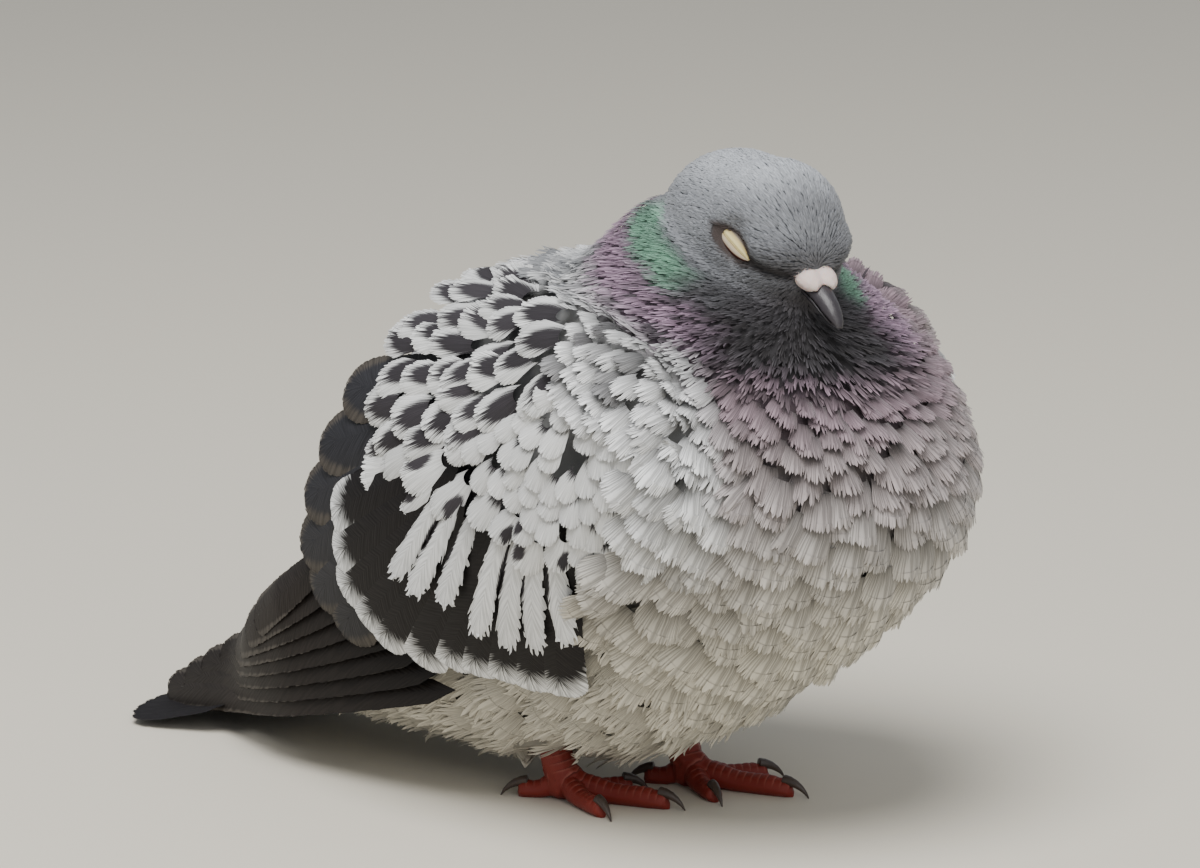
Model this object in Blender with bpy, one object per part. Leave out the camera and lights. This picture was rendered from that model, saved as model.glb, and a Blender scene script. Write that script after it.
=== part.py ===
"""A life-size rock pigeon, Columba livia, at rest: plumage puffed out, neck drawn in, eyes shut.

The bird faces -Y with +Z up, so its left side is at +X. It stands on z = 0 with its tail laid there too.
The plumage is one outline, lofted through rings from the rump to the head, and parted with thin cuts where
a person would name a new part. Each folded wing is a set of plates that lie on that outline.
"""

import math

import bmesh
import bpy
import numpy as np
from mathutils import Matrix, Vector
from mathutils.bvhtree import BVHTree

MM = 0.001
GAP = 0.35 * MM  # the cut between two neighbouring parts
RING_SIDES = 28

# Rings of the plumage, from the rump's end to the top of the neck, in mm. Each one stands on a line in the
# bird's middle plane, from a point on the back to a point on the belly: (back y, back z, belly y, belly z,
# half-width). The rings fan round the nape, because the neck is drawn in over the crop.
PLUMAGE_RINGS = (
    (108, 19, 109, 7.5, 15),
    (96, 36, 97, 8, 24),
    (81, 63, 83, 7.5, 33),
    (66, 93, 66, 7, 40),
    (49, 118, 46, 5.5, 46),
    (31, 129, 22, 5, 50),
    (17, 132, -6, 9, 53),
    (9, 133, -32, 19, 55),
    (5, 135, -62, 40, 57),
    (2, 137, -87, 67, 56.5),
    (-1, 140, -89, 91, 48),
    (-4, 143, -77, 110, 37),
    (-8, 147, -63, 123, 26),
    (-15, 148, -52, 131, 17),
)
# The lengths it is parted into: (name, places along PLUMAGE_RINGS, how many rings it takes, finish).
PLUMAGE_PARTS = (
    ("rump", (0.0, 3.3), 7, "rump_grey"),
    ("trunk", (3.3, 7.6), 10, "belly_pale"),
    ("breast", (7.6, 10.3), 8, "breast_grey"),
    ("neck", (10.3, 13.0), 7, "neck_sheen"),
)

# The head, in its own frame: forward is -Y, and each ring is (y, crown z, throat z, half-width), in mm.
HEAD_CENTRE = Vector((-2, -40, 141)) * MM
HEAD_TURN = math.radians(-20)  # to the bird's right
HEAD_SIDES = 22
HEAD_LOFT_RINGS = 14
HEAD_RINGS = (
    (26, 3, -5, 3.5),
    (24, 10.5, -11, 10.8),
    (20, 15.4, -15, 15.0),
    (13, 18.3, -18.5, 17.7),
    (6, 18.4, -20, 18.8),
    (-1, 17.6, -20, 18.7),
    (-7, 18.5, -19, 17.9),
    (-13, 17.3, -17, 15.8),
    (-18, 13.8, -14.5, 12.6),
    (-21.5, 8.5, -12, 9.2),
    (-23.5, 2, -10, 6.2),
    (-24, -2.5, -8.5, 4.2),
)

EYE_RADIUS = 6.0 * MM
EYE_PLACE = Vector((7.8, -10.3, 1.6)) * MM  # of the left eye's centre, in the head's frame
EYE_LOOK = Vector((0.94, -0.34, 0.05))  # where the left eye would look
EYE_HOLLOW_RADIUS = 8.0 * MM
EYE_BULGE = 1.3 * MM  # how far the lids stand out of the hollow

# The bill, in a frame at its root whose -Y runs along it: (y, half-width, ridge height, keel depth), in mm.
BILL_ROOT = Vector((0, -17.8, -4.6)) * MM
BILL_NOD = math.radians(24)
BILL_RINGS = (
    (0, 4.2, 3.3, 3.0),
    (-5, 4.0, 3.2, 2.9),
    (-9, 3.4, 3.0, 2.6),
    (-13, 2.8, 3.0, 2.2),
    (-16.5, 2.4, 2.8, 1.7),
    (-19.4, 1.7, 1.9, 1.1),
    (-21.2, 0.8, 0.7, 0.5),
)
BILL_LOFT_RINGS = 9
BILL_ARC_STEPS = 8
BILL_HOOK_START = 0.45  # of the bill's length
BILL_TIP_DROOP = 1.5 * MM
LOWER_BILL_SHARE = 0.9  # of the upper bill's length
LOWER_ROOM_DEPTH = 1.7  # how deep the lower bill's room in the head is, as a multiple of the upper one's
CERE_RADII = Vector((4.9, 4.9, 2.6)) * MM
CERE_PLACE = Vector((0, -7.9, 2.85)) * MM  # in the bill's frame
CERE_GROOVE = 0.3  # how deep the groove between its two lobes is, as a share of its radius
CERE_GROOVE_WIDTH = 0.3  # the same for half of its width

# Each foot: where the ankle stands, how far the tarsus leans, and (direction from straight ahead, length,
# radius) of each toe. A positive direction turns to the bird's left.
ANKLE_HEIGHT = 6.5 * MM
TARSUS_RADIUS = 3.3 * MM
TARSUS_SWELLS = (1.1, 1.15, 1.0, 0.98, 1.0, 1.05)  # from the foot up
TARSUS_TOP = 27 * MM
KNUCKLE_RADII = Vector((4.1, 4.1, 3.8)) * MM
ANKLE_ROOM = 7.5 * MM  # the radius of the hollow over each ankle
ANKLE_ROOM_TOP = 8 * MM
FEET = {
    "right": dict(
        ankle=(-13.8, 8.4),
        lean=(-2.0, 6.5),
        toes=dict(hind=(-150, 13, 2.1), inner=(52, 19, 2.2), middle=(16, 29, 2.5), outer=(-24, 22, 2.2)),
    ),
    "left": dict(
        ankle=(13.8, -8.4),
        lean=(2.0, 9.5),
        toes=dict(hind=(-154, 13, 2.1), inner=(-31, 19, 2.2), middle=(14, 29, 2.5), outer=(54, 22, 2.2)),
    ),
}
CLAW_LENGTH = 8.2 * MM
CLAW_RADIUS = 1.45 * MM
CLAW_DROOP = math.radians(62)
CLAW_SEAT = 2.4 * MM  # how far back from the toe's end a claw starts
CLAW_TAPER = 0.86  # how much thinner its point is than its root
TOE_SINK = 0.55 * MM  # how much of a pad is flattened on the floor
TOE_PADS = 3
TOE_TIP_START = 0.86  # where a toe begins to round off, as a share of its length

# The folded wing's upper plates, laid on the plumage: (place along PLUMAGE_RINGS, upper edge, lower edge), in
# degrees round the ring from the back. Each stands off the plumage by its base height, in mm.
WING_PLATES = {
    "coverts": dict(
        edges=((10.25, 74, 84), (9.9, 61, 95), (9, 44, 108), (8, 30, 115), (7, 22, 109),
               (6, 20, 100), (5, 20, 87), (4.35, 22, 66), (3.85, 26, 40)),
        base=1.25, rim=1.2, crown=5.9,
    ),
    "secondaries": dict(
        edges=((6.75, 110, 121), (6.0, 101.5, 123.5), (5.0, 88.5, 119), (4.35, 67.5, 112), (3.85, 42, 106),
               (3.6, 27, 102), (3.0, 24, 96), (2.4, 26, 88), (2.0, 34, 72)),
        base=2.7, rim=1.0, crown=3.0,
    ),
}

# The primaries, as a fan of joined feathers under the other plates: (y, z) of the shafts' roots and tips, in
# the side view and in mm, from the lowest and longest feather to the top one. Their distance from the middle
# plane goes by y, unless the plumage pushes them out.
PRIMARIES = 8
PRIMARY_ROWS = 6
PRIMARY_ROOTS = ((10, 33), (22, 42), (36, 52), (52, 62))
PRIMARY_TIPS = ((142, 5), (134, 9.5), (126, 14), (117.5, 18.5), (109, 23), (101, 27.5), (94, 32), (88, 36))
PRIMARY_SPREAD = (
    (10, 45), (32, 42), (55, 39), (78, 35), (90, 30.3), (98, 26), (106, 22.3), (125, 15), (142, 8)
)
PRIMARY_LEAN = 0.5  # how far the top of the fan leans over the tail, per unit of height above its foot line
PRIMARY_LEAN_START = ((97, 0), (112, 1))  # (y, share of the lean)
PRIMARY_FOOT_LINE = ((98, 13), (142, 5))  # (y, z)
PRIMARY_THICKNESS = 1.1 * MM
PRIMARY_TIP_ROUND = 4.0 * MM

# The tail, laid on the floor as a slightly spread fan.
TAIL_FEATHERS = 12
TAIL_LINE = ((109.2, 9.6), (118, 5.6), (130, 2.0), (146, 0.6))  # (y, z) of its middle, in mm
TAIL_HALF_WIDTHS = (15.5, 28)  # at the root and at the tip, in mm
TAIL_CORNER = 7 * MM  # how much shorter the outermost feathers end
TAIL_TIP_ROUND = 3.2 * MM
TAIL_THICKNESSES = (4.6, 1.6)
TAIL_ROWS = 4

COLUMNS_PER_FEATHER = 3  # of the primaries and of the tail
TIP_ROUNDNESS = 2.5  # the power of the curve that rounds a feather's tip

COLOURS = {
    "head_grey": (0.28, 0.30, 0.34),
    "neck_sheen": (0.24, 0.26, 0.28),
    "breast_grey": (0.45, 0.42, 0.43),
    "belly_pale": (0.60, 0.58, 0.53),
    "rump_grey": (0.22, 0.22, 0.23),
    "covert_pied": (0.62, 0.63, 0.64),
    "flight_slate": (0.06, 0.055, 0.055),
    "tail_slate": (0.05, 0.045, 0.045),
    "lid_cream": (0.72, 0.64, 0.46),
    "bill_horn": (0.06, 0.06, 0.07),
    "cere_white": (0.82, 0.74, 0.70),
    "foot_red": (0.42, 0.07, 0.05),
    "claw_horn": (0.07, 0.065, 0.06),
}


def clear_scene():
    for obj in list(bpy.data.objects):
        bpy.data.objects.remove(obj)


def material(name, roughness=0.7):
    found = bpy.data.materials.get(name)
    if found is None:
        found = bpy.data.materials.new(name)
        found.use_nodes = True
        shader = found.node_tree.nodes["Principled BSDF"]
        shader.inputs["Base Color"].default_value = (*COLOURS[name], 1)
        shader.inputs["Roughness"].default_value = roughness
    return found


def finish_object(name, bm, finish, roughness=0.7):
    bmesh.ops.recalc_face_normals(bm, faces=bm.faces)
    mesh = bpy.data.meshes.new(name)
    bm.to_mesh(mesh)
    bm.free()
    mesh.shade_smooth()
    mesh.set_sharp_from_angle(angle=math.radians(40))
    if finish:
        mesh.materials.append(material(finish, roughness))
    obj = bpy.data.objects.new(name, mesh)
    bpy.context.scene.collection.objects.link(obj)
    return obj


def spline(rows, place):
    """The row at a place along rows, on a smooth curve through all of them."""
    rows = np.asarray(rows, float)
    place = min(max(place, 0.0), len(rows) - 1.0)
    i = min(int(place), len(rows) - 2)
    t = place - i
    before = rows[i - 1] if i else 2 * rows[0] - rows[1]
    after = rows[i + 2] if i + 2 < len(rows) else 2 * rows[-1] - rows[-2]
    a, b = rows[i], rows[i + 1]
    return 0.5 * (2 * a + (b - before) * t + (2 * before - 5 * a + 4 * b - after) * t**2
                  + (3 * a - before - 3 * b + after) * t**3)


def ring_frame(row):
    """(centre, half-height vector, half-width) of a ring, in metres."""
    back_y, back_z, belly_y, belly_z, half_width = (value * MM for value in row)
    back, belly = Vector((0, back_y, back_z)), Vector((0, belly_y, belly_z))
    return (back + belly) / 2, (back - belly) / 2, half_width


def ring_point(row, angle):
    centre, upward, half_width = ring_frame(row)
    return centre + upward * math.cos(angle) + Vector((half_width * math.sin(angle), 0, 0))


def ring_points(row, shift=0.0):
    """A ring's corners. A shift moves it along its own axis, towards the head."""
    _, upward, _ = ring_frame(row)
    ahead = Vector((1, 0, 0)).cross(upward).normalized()
    return [ring_point(row, math.tau * k / RING_SIDES) + ahead * shift for k in range(RING_SIDES)]


def loft(rings):
    """A closed bmesh through rings of equally many points."""
    bm = bmesh.new()
    loops = [[bm.verts.new(point) for point in ring] for ring in rings]
    for a, b in zip(loops, loops[1:]):
        for k in range(len(a)):
            after = (k + 1) % len(a)
            bm.faces.new((a[k], a[after], b[after], b[k]))
    bm.faces.new(loops[0])
    bm.faces.new(reversed(loops[-1]))
    return bm


def plumage_part(name, ends, rings, finish):
    """One length of the plumage, cut off square to its rings at both ends."""
    places = np.linspace(*ends, rings)
    shifts = [GAP / 2] + [0.0] * (rings - 2) + [-GAP / 2]
    points = [ring_points(spline(PLUMAGE_RINGS, place), shift) for place, shift in zip(places, shifts)]
    return finish_object(name, loft(points), finish)


def head_matrix():
    return Matrix.Translation(HEAD_CENTRE) @ Matrix.Rotation(HEAD_TURN, 4, "Z")


def bill_matrix():
    return head_matrix() @ Matrix.Translation(BILL_ROOT) @ Matrix.Rotation(BILL_NOD, 4, "X")


def head_loft(swell):
    """The head's rings, swollen outwards a little where the shape is to clear the head."""
    half_length = -HEAD_RINGS[-1][0] * MM
    rings = []
    for place in np.linspace(0, len(HEAD_RINGS) - 1, HEAD_LOFT_RINGS):
        y, crown, throat, half_width = spline(HEAD_RINGS, place) * MM
        centre, half_height = (crown + throat) / 2, (crown - throat) / 2
        ring = []
        for k in range(HEAD_SIDES):
            angle = math.tau * k / HEAD_SIDES
            side = (half_width + swell) * math.sin(angle)
            height = centre + (half_height + swell) * math.cos(angle)
            ring.append(Vector((side, y * (1 + swell / half_length), height)))
        rings.append(ring)
    return loft(rings)


def ball(name, radii, matrix, finish=None, segments=12):
    bm = bmesh.new()
    bmesh.ops.create_uvsphere(bm, u_segments=segments, v_segments=segments // 2, radius=1)
    bmesh.ops.transform(bm, matrix=matrix @ Matrix.Diagonal((*radii, 1)), verts=bm.verts)
    return finish_object(name, bm, finish, 0.4)


def combine(obj, tool, operation):
    """A Boolean of obj with a tool, applied at once. The tool goes."""
    modifier = obj.modifiers.new(operation, "BOOLEAN")
    modifier.operation = operation
    modifier.object = tool
    bpy.context.view_layer.update()
    graph = bpy.context.evaluated_depsgraph_get()
    mesh = bpy.data.meshes.new_from_object(obj.evaluated_get(graph))
    obj.modifiers.clear()
    old, name = obj.data, obj.data.name
    obj.data = mesh
    bpy.data.meshes.remove(old)
    mesh.name = name
    bpy.data.objects.remove(tool)


def build_head(plumage_under_it):
    bm = head_loft(0)
    bm.transform(head_matrix())
    head = finish_object("head", bm, "head_grey")
    for part in plumage_under_it:
        bm = head_loft(GAP)
        bm.transform(head_matrix())
        combine(part, finish_object("head_clearance", bm, None), "DIFFERENCE")
    return head


def build_eyes(head):
    """Each eye is a ball under shut lids, in a hollow of the cheek."""
    for side, sign in (("left", 1), ("right", -1)):
        place = Vector((EYE_PLACE.x * sign, EYE_PLACE.y, EYE_PLACE.z))
        outwards = Vector((EYE_LOOK.x * sign, EYE_LOOK.y, EYE_LOOK.z)).normalized()
        hollow_place = place + outwards * (EYE_HOLLOW_RADIUS + EYE_RADIUS - EYE_BULGE)
        for radius, at in ((EYE_HOLLOW_RADIUS, hollow_place), (EYE_RADIUS + GAP, place)):
            tool = ball("hollow", (radius,) * 3, head_matrix() @ Matrix.Translation(at))
            combine(head, tool, "DIFFERENCE")
        ball(f"eye_{side}", (EYE_RADIUS,) * 3, head_matrix() @ Matrix.Translation(place), "lid_cream")


def bill_loft(upper, swell, share=1.0):
    """Half of the bill: a half-round loft with a flat biting side, hooked at its tip.

    Swollen, it is the room that the bill needs in the head. The two rooms end at different depths.
    """
    length = -BILL_RINGS[-1][0] * MM
    rings = []
    for place in np.linspace(0, len(BILL_RINGS) - 1, BILL_LOFT_RINGS):
        y, half_width, ridge, keel = spline(BILL_RINGS, place) * MM
        height = (ridge if upper else keel) + swell
        hook = max(0.0, -y / length - BILL_HOOK_START) / (1 - BILL_HOOK_START)
        bite = GAP / 2 - swell
        root_depth = swell * (1 if upper else LOWER_ROOM_DEPTH)
        along = y * share + (root_depth if place == 0 else -swell)
        ring = []
        for k in range(BILL_ARC_STEPS + 1):
            angle = math.pi * k / BILL_ARC_STEPS
            lift = bite + (height - bite) * math.sin(angle)
            upward = (lift if upper else -lift) - BILL_TIP_DROOP * hook**2
            ring.append(Vector(((half_width + swell) * math.cos(angle), along, upward)))
        rings.append(ring)
    return loft(rings)


def build_bill(head):
    for name, upper, share in (("bill_upper", True, 1.0), ("bill_lower", False, LOWER_BILL_SHARE)):
        bm = bill_loft(upper, GAP, share)
        bm.transform(bill_matrix())
        combine(head, finish_object("bill_clearance", bm, None), "DIFFERENCE")
        bm = bill_loft(upper, 0, share)
        bm.transform(bill_matrix())
        finish_object(name, bm, "bill_horn", 0.35)


def cere_ball(name, swell, finish):
    """The two swollen lobes over the nostrils: a flattened ball with a groove along its middle."""
    bm = bmesh.new()
    bmesh.ops.create_uvsphere(bm, u_segments=14, v_segments=8, radius=1)
    for vert in bm.verts:
        groove = 1 - CERE_GROOVE * math.exp(-((vert.co.x / CERE_GROOVE_WIDTH) ** 2))
        vert.co.y *= groove
        vert.co.z *= groove
    radii = CERE_RADII + Vector((swell,) * 3)
    seat = bill_matrix() @ Matrix.Translation(CERE_PLACE)
    bmesh.ops.transform(bm, matrix=seat @ Matrix.Diagonal((*radii, 1)), verts=bm.verts)
    return finish_object(name, bm, finish, 0.6)


def build_cere(head):
    combine(head, cere_ball("cere_clearance", GAP, None), "DIFFERENCE")
    cere = cere_ball("cere", 0, "cere_white")
    bm = bill_loft(True, GAP)
    bm.transform(bill_matrix())
    combine(cere, finish_object("bill_clearance", bm, None), "DIFFERENCE")


def tube(path, radii, sides=8):
    """A bmesh tube along a path, whose rings stay upright."""
    rings = []
    for i, (point, radius) in enumerate(zip(path, radii)):
        ahead = (path[min(i + 1, len(path) - 1)] - path[max(i - 1, 0)]).normalized()
        side = ahead.cross(Vector((0, 0, 1)))
        side = side.normalized() if side.length > 0.2 else Vector((1, 0, 0))
        upward = side.cross(ahead).normalized()
        rings.append([point + (side * math.cos(a) + upward * math.sin(a)) * radius
                      for a in (math.tau * k / sides for k in range(sides))])
    return loft(rings)


def heading(degrees):
    """A level direction, turned to the bird's left from straight ahead."""
    return Vector((math.sin(math.radians(degrees)), -math.cos(math.radians(degrees)), 0))


def toe_tube(ankle, direction, length, radius):
    """A toe from inside the ankle to its rounded end, with a swollen pad under each joint."""
    ahead = heading(direction)
    path, radii = [], []
    for along in np.linspace(0, 1, 8):
        past = max(0.0, (along - TOE_TIP_START) / (1 - TOE_TIP_START))
        end = math.sqrt(1 - past**2)
        pad = 1 + 0.08 * math.cos(math.tau * along * TOE_PADS)
        taper = 1.18 - 0.28 * along
        swell = radius * taper * pad * max(end, 0.25)
        rise = (ANKLE_HEIGHT - radius) * max(0.0, 1 - along * 2.2) ** 2
        path.append(Vector((*ankle, swell - TOE_SINK + rise)) + ahead * length * along)
        radii.append(swell)
    return tube(path, radii)


def claw_tube(ankle, direction, length, radius):
    """A curved claw whose point comes down to the floor."""
    ahead = heading(direction)
    root = Vector((*ankle, radius * 1.25)) + ahead * (length - CLAW_SEAT)
    path, radii = [], []
    bend = CLAW_LENGTH / CLAW_DROOP
    for along in np.linspace(0, 1, 6):
        turn = CLAW_DROOP * along
        path.append(root + ahead * bend * math.sin(turn) - Vector((0, 0, bend * (1 - math.cos(turn)))))
        radii.append(CLAW_RADIUS * (1 - CLAW_TAPER * along**1.3))
    drop = min(point.z - size for point, size in zip(path, radii))
    return tube([point - Vector((0, 0, min(0.0, drop - 0.05 * MM))) for point in path], radii, sides=7)


def flatten_on_floor(obj):
    """Cuts off what is under z = 0 and closes the cut with a flat."""
    bm = bmesh.new()
    bm.from_mesh(obj.data)
    geometry = bm.verts[:] + bm.edges[:] + bm.faces[:]
    cut = bmesh.ops.bisect_plane(bm, geom=geometry, plane_co=(0, 0, 0), plane_no=(0, 0, -1), clear_outer=True)
    bmesh.ops.holes_fill(bm, edges=[e for e in cut["geom_cut"] if isinstance(e, bmesh.types.BMEdge)])
    bm.to_mesh(obj.data)
    bm.free()


def build_leg(side, foot, trunk):
    """The bare tarsus and toes in one piece, its claws, and the room for it in the belly's plumage."""
    ankle = Vector(foot["ankle"]) * MM
    foot_top = Vector((*ankle, ANKLE_HEIGHT - TARSUS_RADIUS * 2 / 3))
    knee = Vector((ankle.x + foot["lean"][0] * MM, ankle.y + foot["lean"][1] * MM, TARSUS_TOP))
    path = [foot_top.lerp(knee, t) for t in np.linspace(0, 1, len(TARSUS_SWELLS))]
    radii = [TARSUS_RADIUS * swell for swell in TARSUS_SWELLS]
    leg = finish_object(f"leg_{side}", tube(path, radii, 10), "foot_red", 0.55)
    knuckle_place = Matrix.Translation(Vector((*ankle, KNUCKLE_RADII.z - TOE_SINK)))
    combine(leg, ball("knuckle", KNUCKLE_RADII, knuckle_place, segments=10), "UNION")
    for toe, (direction, length, radius) in foot["toes"].items():
        bm = toe_tube(ankle, direction, length * MM, radius * MM)
        combine(leg, finish_object("toe", bm, None), "UNION")
        claw = claw_tube(ankle, direction, length * MM, radius * MM)
        claw = finish_object(f"claw_{side}_{toe}", claw, "claw_horn", 0.4)
        clearance = toe_tube(ankle, direction, length * MM + GAP, radius * MM + GAP)
        combine(claw, finish_object("toe_clearance", clearance, None), "DIFFERENCE")
        flatten_on_floor(claw)
    flatten_on_floor(leg)
    tarsus_room = TARSUS_RADIUS * max(TARSUS_SWELLS) + GAP
    room_path = [Vector((*ankle, z)) for z in (-MM, ANKLE_ROOM_TOP, ANKLE_ROOM_TOP + 2 * MM)]
    room_path += [path[2], path[4], path[-1] + Vector((0, 0, GAP))]
    room_radii = [ANKLE_ROOM, ANKLE_ROOM, ANKLE_ROOM * 0.76] + [tarsus_room] * 3
    combine(trunk, finish_object("room", tube(room_path, room_radii, 12), None), "DIFFERENCE")


def plate(name, inner, outer, finish):
    """A closed plate between two grids of points."""
    bm = bmesh.new()
    grids = [[[bm.verts.new(point) for point in line] for line in grid] for grid in (inner, outer)]
    columns, rows = len(inner), len(inner[0])
    for grid in grids:
        for i in range(columns - 1):
            for j in range(rows - 1):
                bm.faces.new((grid[i][j], grid[i + 1][j], grid[i + 1][j + 1], grid[i][j + 1]))
    border = [(i, 0) for i in range(columns)] + [(columns - 1, j) for j in range(1, rows)]
    border += [(i, rows - 1) for i in range(columns - 2, -1, -1)]
    border += [(0, j) for j in range(rows - 2, 0, -1)]
    inside, outside = grids
    for (i, j), (m, n) in zip(border, border[1:] + border[:1]):
        bm.faces.new((inside[i][j], inside[m][n], outside[m][n], outside[i][j]))
    return finish_object(name, bm, finish)


def thicken(grid, thicknesses, outwards):
    """A second grid, raised off the first along its own normals."""
    grid = np.array([[tuple(point) for point in line] for line in grid])
    along, around = np.gradient(grid, axis=0), np.gradient(grid, axis=1)
    normals = np.cross(along, around)
    normals /= np.linalg.norm(normals, axis=2, keepdims=True) + 1e-12
    normals *= np.sign((normals * np.array(outwards)).sum(2, keepdims=True) + 1e-9)
    return grid + normals * np.asarray(thicknesses)[..., None]


def plume_plate(name, edges, base, rim, crown, sign, finish, columns=16, rows=6):
    """A plate that lies on the plumage between two edges, thin at its rim and thick in its middle.

    Its front end stays thin, where the breast's plumes cover it.
    """
    layers = [[], []]
    for i in range(columns):
        share = i / (columns - 1)
        place, upper, lower = spline(edges, share * (len(edges) - 1))
        lines = [[], []]
        for j in range(rows):
            down = j / (rows - 1)
            angle = math.radians(upper + (lower - upper) * down)
            point = ring_point(spline(PLUMAGE_RINGS, place), angle)
            along = ring_point(spline(PLUMAGE_RINGS, place + 0.05), angle) - point
            around = ring_point(spline(PLUMAGE_RINGS, place), angle + 0.02) - point
            normal = along.cross(around).normalized()
            if normal.x < 0:
                normal.negate()
            bulge = (16 * share * (1 - share) * down * (1 - down)) ** 0.45
            body = bulge * min(1, 0.25 + 2.2 * share)
            for line, height in zip(lines, (base, base + rim + (crown - rim) * body)):
                raised = point + normal * height * MM
                line.append((raised.x * sign, raised.y, raised.z))
        for layer, line in zip(layers, lines):
            layer.append(line)
    return plate(name, *layers, finish)


def shell_of(parts):
    """The surface of the plumage under the wings, to measure how far out it reaches."""
    bm = bmesh.new()
    for part in parts:
        bm.from_mesh(part.data)
    shell = BVHTree.FromBMesh(bm)
    bm.free()
    return shell


def build_primaries(name, shell, sign):
    """A fan of joined feathers with stepped tips, the longest of them lowest."""
    columns, rows = PRIMARIES * COLUMNS_PER_FEATHER + 1, PRIMARY_ROWS
    inner, thicknesses = [], []
    for i in range(columns):
        share = i / (columns - 1)
        in_feather = (i % COLUMNS_PER_FEATHER) / COLUMNS_PER_FEATHER * 2 - 1
        root = spline(PRIMARY_ROOTS, share * (len(PRIMARY_ROOTS) - 1)) * MM
        tip = spline(PRIMARY_TIPS, share * (len(PRIMARY_TIPS) - 1)) * MM
        rounding = PRIMARY_TIP_ROUND * abs(in_feather) ** TIP_ROUNDNESS
        tip += (root - tip) / np.linalg.norm(root - tip) * rounding
        line = []
        for j in range(rows):
            along = j / (rows - 1)
            y, z = root + (tip - root) * along
            x = np.interp(y, *np.array(PRIMARY_SPREAD).T * MM)
            lowest = np.interp(y, *np.array(PRIMARY_FOOT_LINE).T * MM)
            x -= PRIMARY_LEAN * max(0.0, z - lowest) * np.interp(y / MM, *np.array(PRIMARY_LEAN_START).T)
            hit = shell.ray_cast(Vector((1, y, z)), Vector((-1, 0, 0)))[0]
            if hit:
                x = max(x, hit.x + 2 * GAP)
            line.append((x * sign, y, z))
        inner.append(line)
        thicknesses.append([PRIMARY_THICKNESS] * rows)
    return plate(name, inner, thicken(inner, thicknesses, (sign, 0.2, 0.2)), "flight_slate")


def build_wings(shell):
    finishes = {"coverts": "covert_pied", "secondaries": "flight_slate"}
    for side, sign in (("right", -1), ("left", 1)):
        for plate_name, shape in WING_PLATES.items():
            plume_plate(f"wing_{side}_{plate_name}", sign=sign, finish=finishes[plate_name], **shape)
        build_primaries(f"wing_{side}_primaries", shell, sign)


def build_tail():
    """Twelve joined feathers: a fan with a scalloped end, most of it laid flat on the floor."""
    columns = TAIL_FEATHERS * COLUMNS_PER_FEATHER + 1
    inner, outer = [], []
    length = (TAIL_LINE[-1][0] - TAIL_LINE[0][0]) * MM
    for i in range(columns):
        across = 2 * i / (columns - 1) - 1
        in_feather = (i % COLUMNS_PER_FEATHER) / COLUMNS_PER_FEATHER * 2 - 1
        short = TAIL_CORNER * abs(across) ** 2.6 + TAIL_TIP_ROUND * abs(in_feather) ** TIP_ROUNDNESS
        lines = [[], []]
        for j in range(TAIL_ROWS):
            reach = j / (TAIL_ROWS - 1) * (1 - short / length)
            y, z = spline(TAIL_LINE, reach * (len(TAIL_LINE) - 1)) * MM
            x = across * np.interp(reach, (0, 1), TAIL_HALF_WIDTHS) * MM
            thickness = np.interp(reach, (0, 1), TAIL_THICKNESSES) * MM * (1 - 0.4 * abs(across) ** 3)
            for line, height in zip(lines, (z - thickness / 2, z + thickness / 2)):
                line.append((x, y, height))
        inner.append(lines[0])
        outer.append(lines[1])
    flatten_on_floor(plate("tail", inner, outer, "tail_slate"))


def stand_on_origin():
    """Moves the whole bird so that the origin is on the floor, under the middle of its box."""
    corners = np.array([v.co for obj in bpy.data.objects for v in obj.data.vertices])
    middle = (corners.min(0) + corners.max(0)) / 2
    for obj in bpy.data.objects:
        obj.data.transform(Matrix.Translation((-middle[0], -middle[1], 0)))


def main():
    clear_scene()
    rump, trunk, breast, neck = (plumage_part(*part) for part in PLUMAGE_PARTS)
    shell = shell_of((rump, trunk))
    head = build_head((breast, neck))
    build_eyes(head)
    build_bill(head)
    build_cere(head)
    for side, foot in FEET.items():
        build_leg(side, foot, trunk)
    build_wings(shell)
    build_tail()
    stand_on_origin()


main()
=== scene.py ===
"""A pied rock pigeon at rest, life-size, as a museum shows one.

One skin stands for the flesh of the frame. Over it lie the feathers, each a vane of mesh whose end breaks up
into strands: short plumes on the head, hackles on the neck, lobed plumes on the breast and belly, and stiff
vanes on the wings and the tail. Lengths are in metres, unless a name or a comment says mm.
"""

import itertools
import math
from dataclasses import dataclass

import bmesh
import bpy
import numpy as np
from mathutils import Matrix, Vector, noise
from mathutils.bvhtree import BVHTree


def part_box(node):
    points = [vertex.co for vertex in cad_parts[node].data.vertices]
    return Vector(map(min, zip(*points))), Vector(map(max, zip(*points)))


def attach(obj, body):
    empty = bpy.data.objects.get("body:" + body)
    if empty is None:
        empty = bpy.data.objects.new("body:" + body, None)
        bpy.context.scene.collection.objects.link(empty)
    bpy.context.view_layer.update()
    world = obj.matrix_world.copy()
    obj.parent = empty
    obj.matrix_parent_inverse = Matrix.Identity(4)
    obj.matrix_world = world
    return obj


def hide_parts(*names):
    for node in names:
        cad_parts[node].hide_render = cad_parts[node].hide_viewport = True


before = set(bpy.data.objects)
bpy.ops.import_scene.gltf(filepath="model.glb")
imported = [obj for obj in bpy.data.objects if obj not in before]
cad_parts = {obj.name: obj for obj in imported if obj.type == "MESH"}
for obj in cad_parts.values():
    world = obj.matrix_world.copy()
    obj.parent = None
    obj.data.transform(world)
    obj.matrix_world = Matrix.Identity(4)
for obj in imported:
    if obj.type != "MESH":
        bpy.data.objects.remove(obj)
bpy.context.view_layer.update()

MM = 0.001
FLOOR_CLEARANCE = 0.3 * MM

FLESH = ("head", "neck", "breast", "trunk", "rump")
LEGS = ("leg_left", "leg_right")
EYES = ("eye_left", "eye_right")
TOES = ("hind", "inner", "middle", "outer")
SIDES = {"right": -1, "left": 1}


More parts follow.
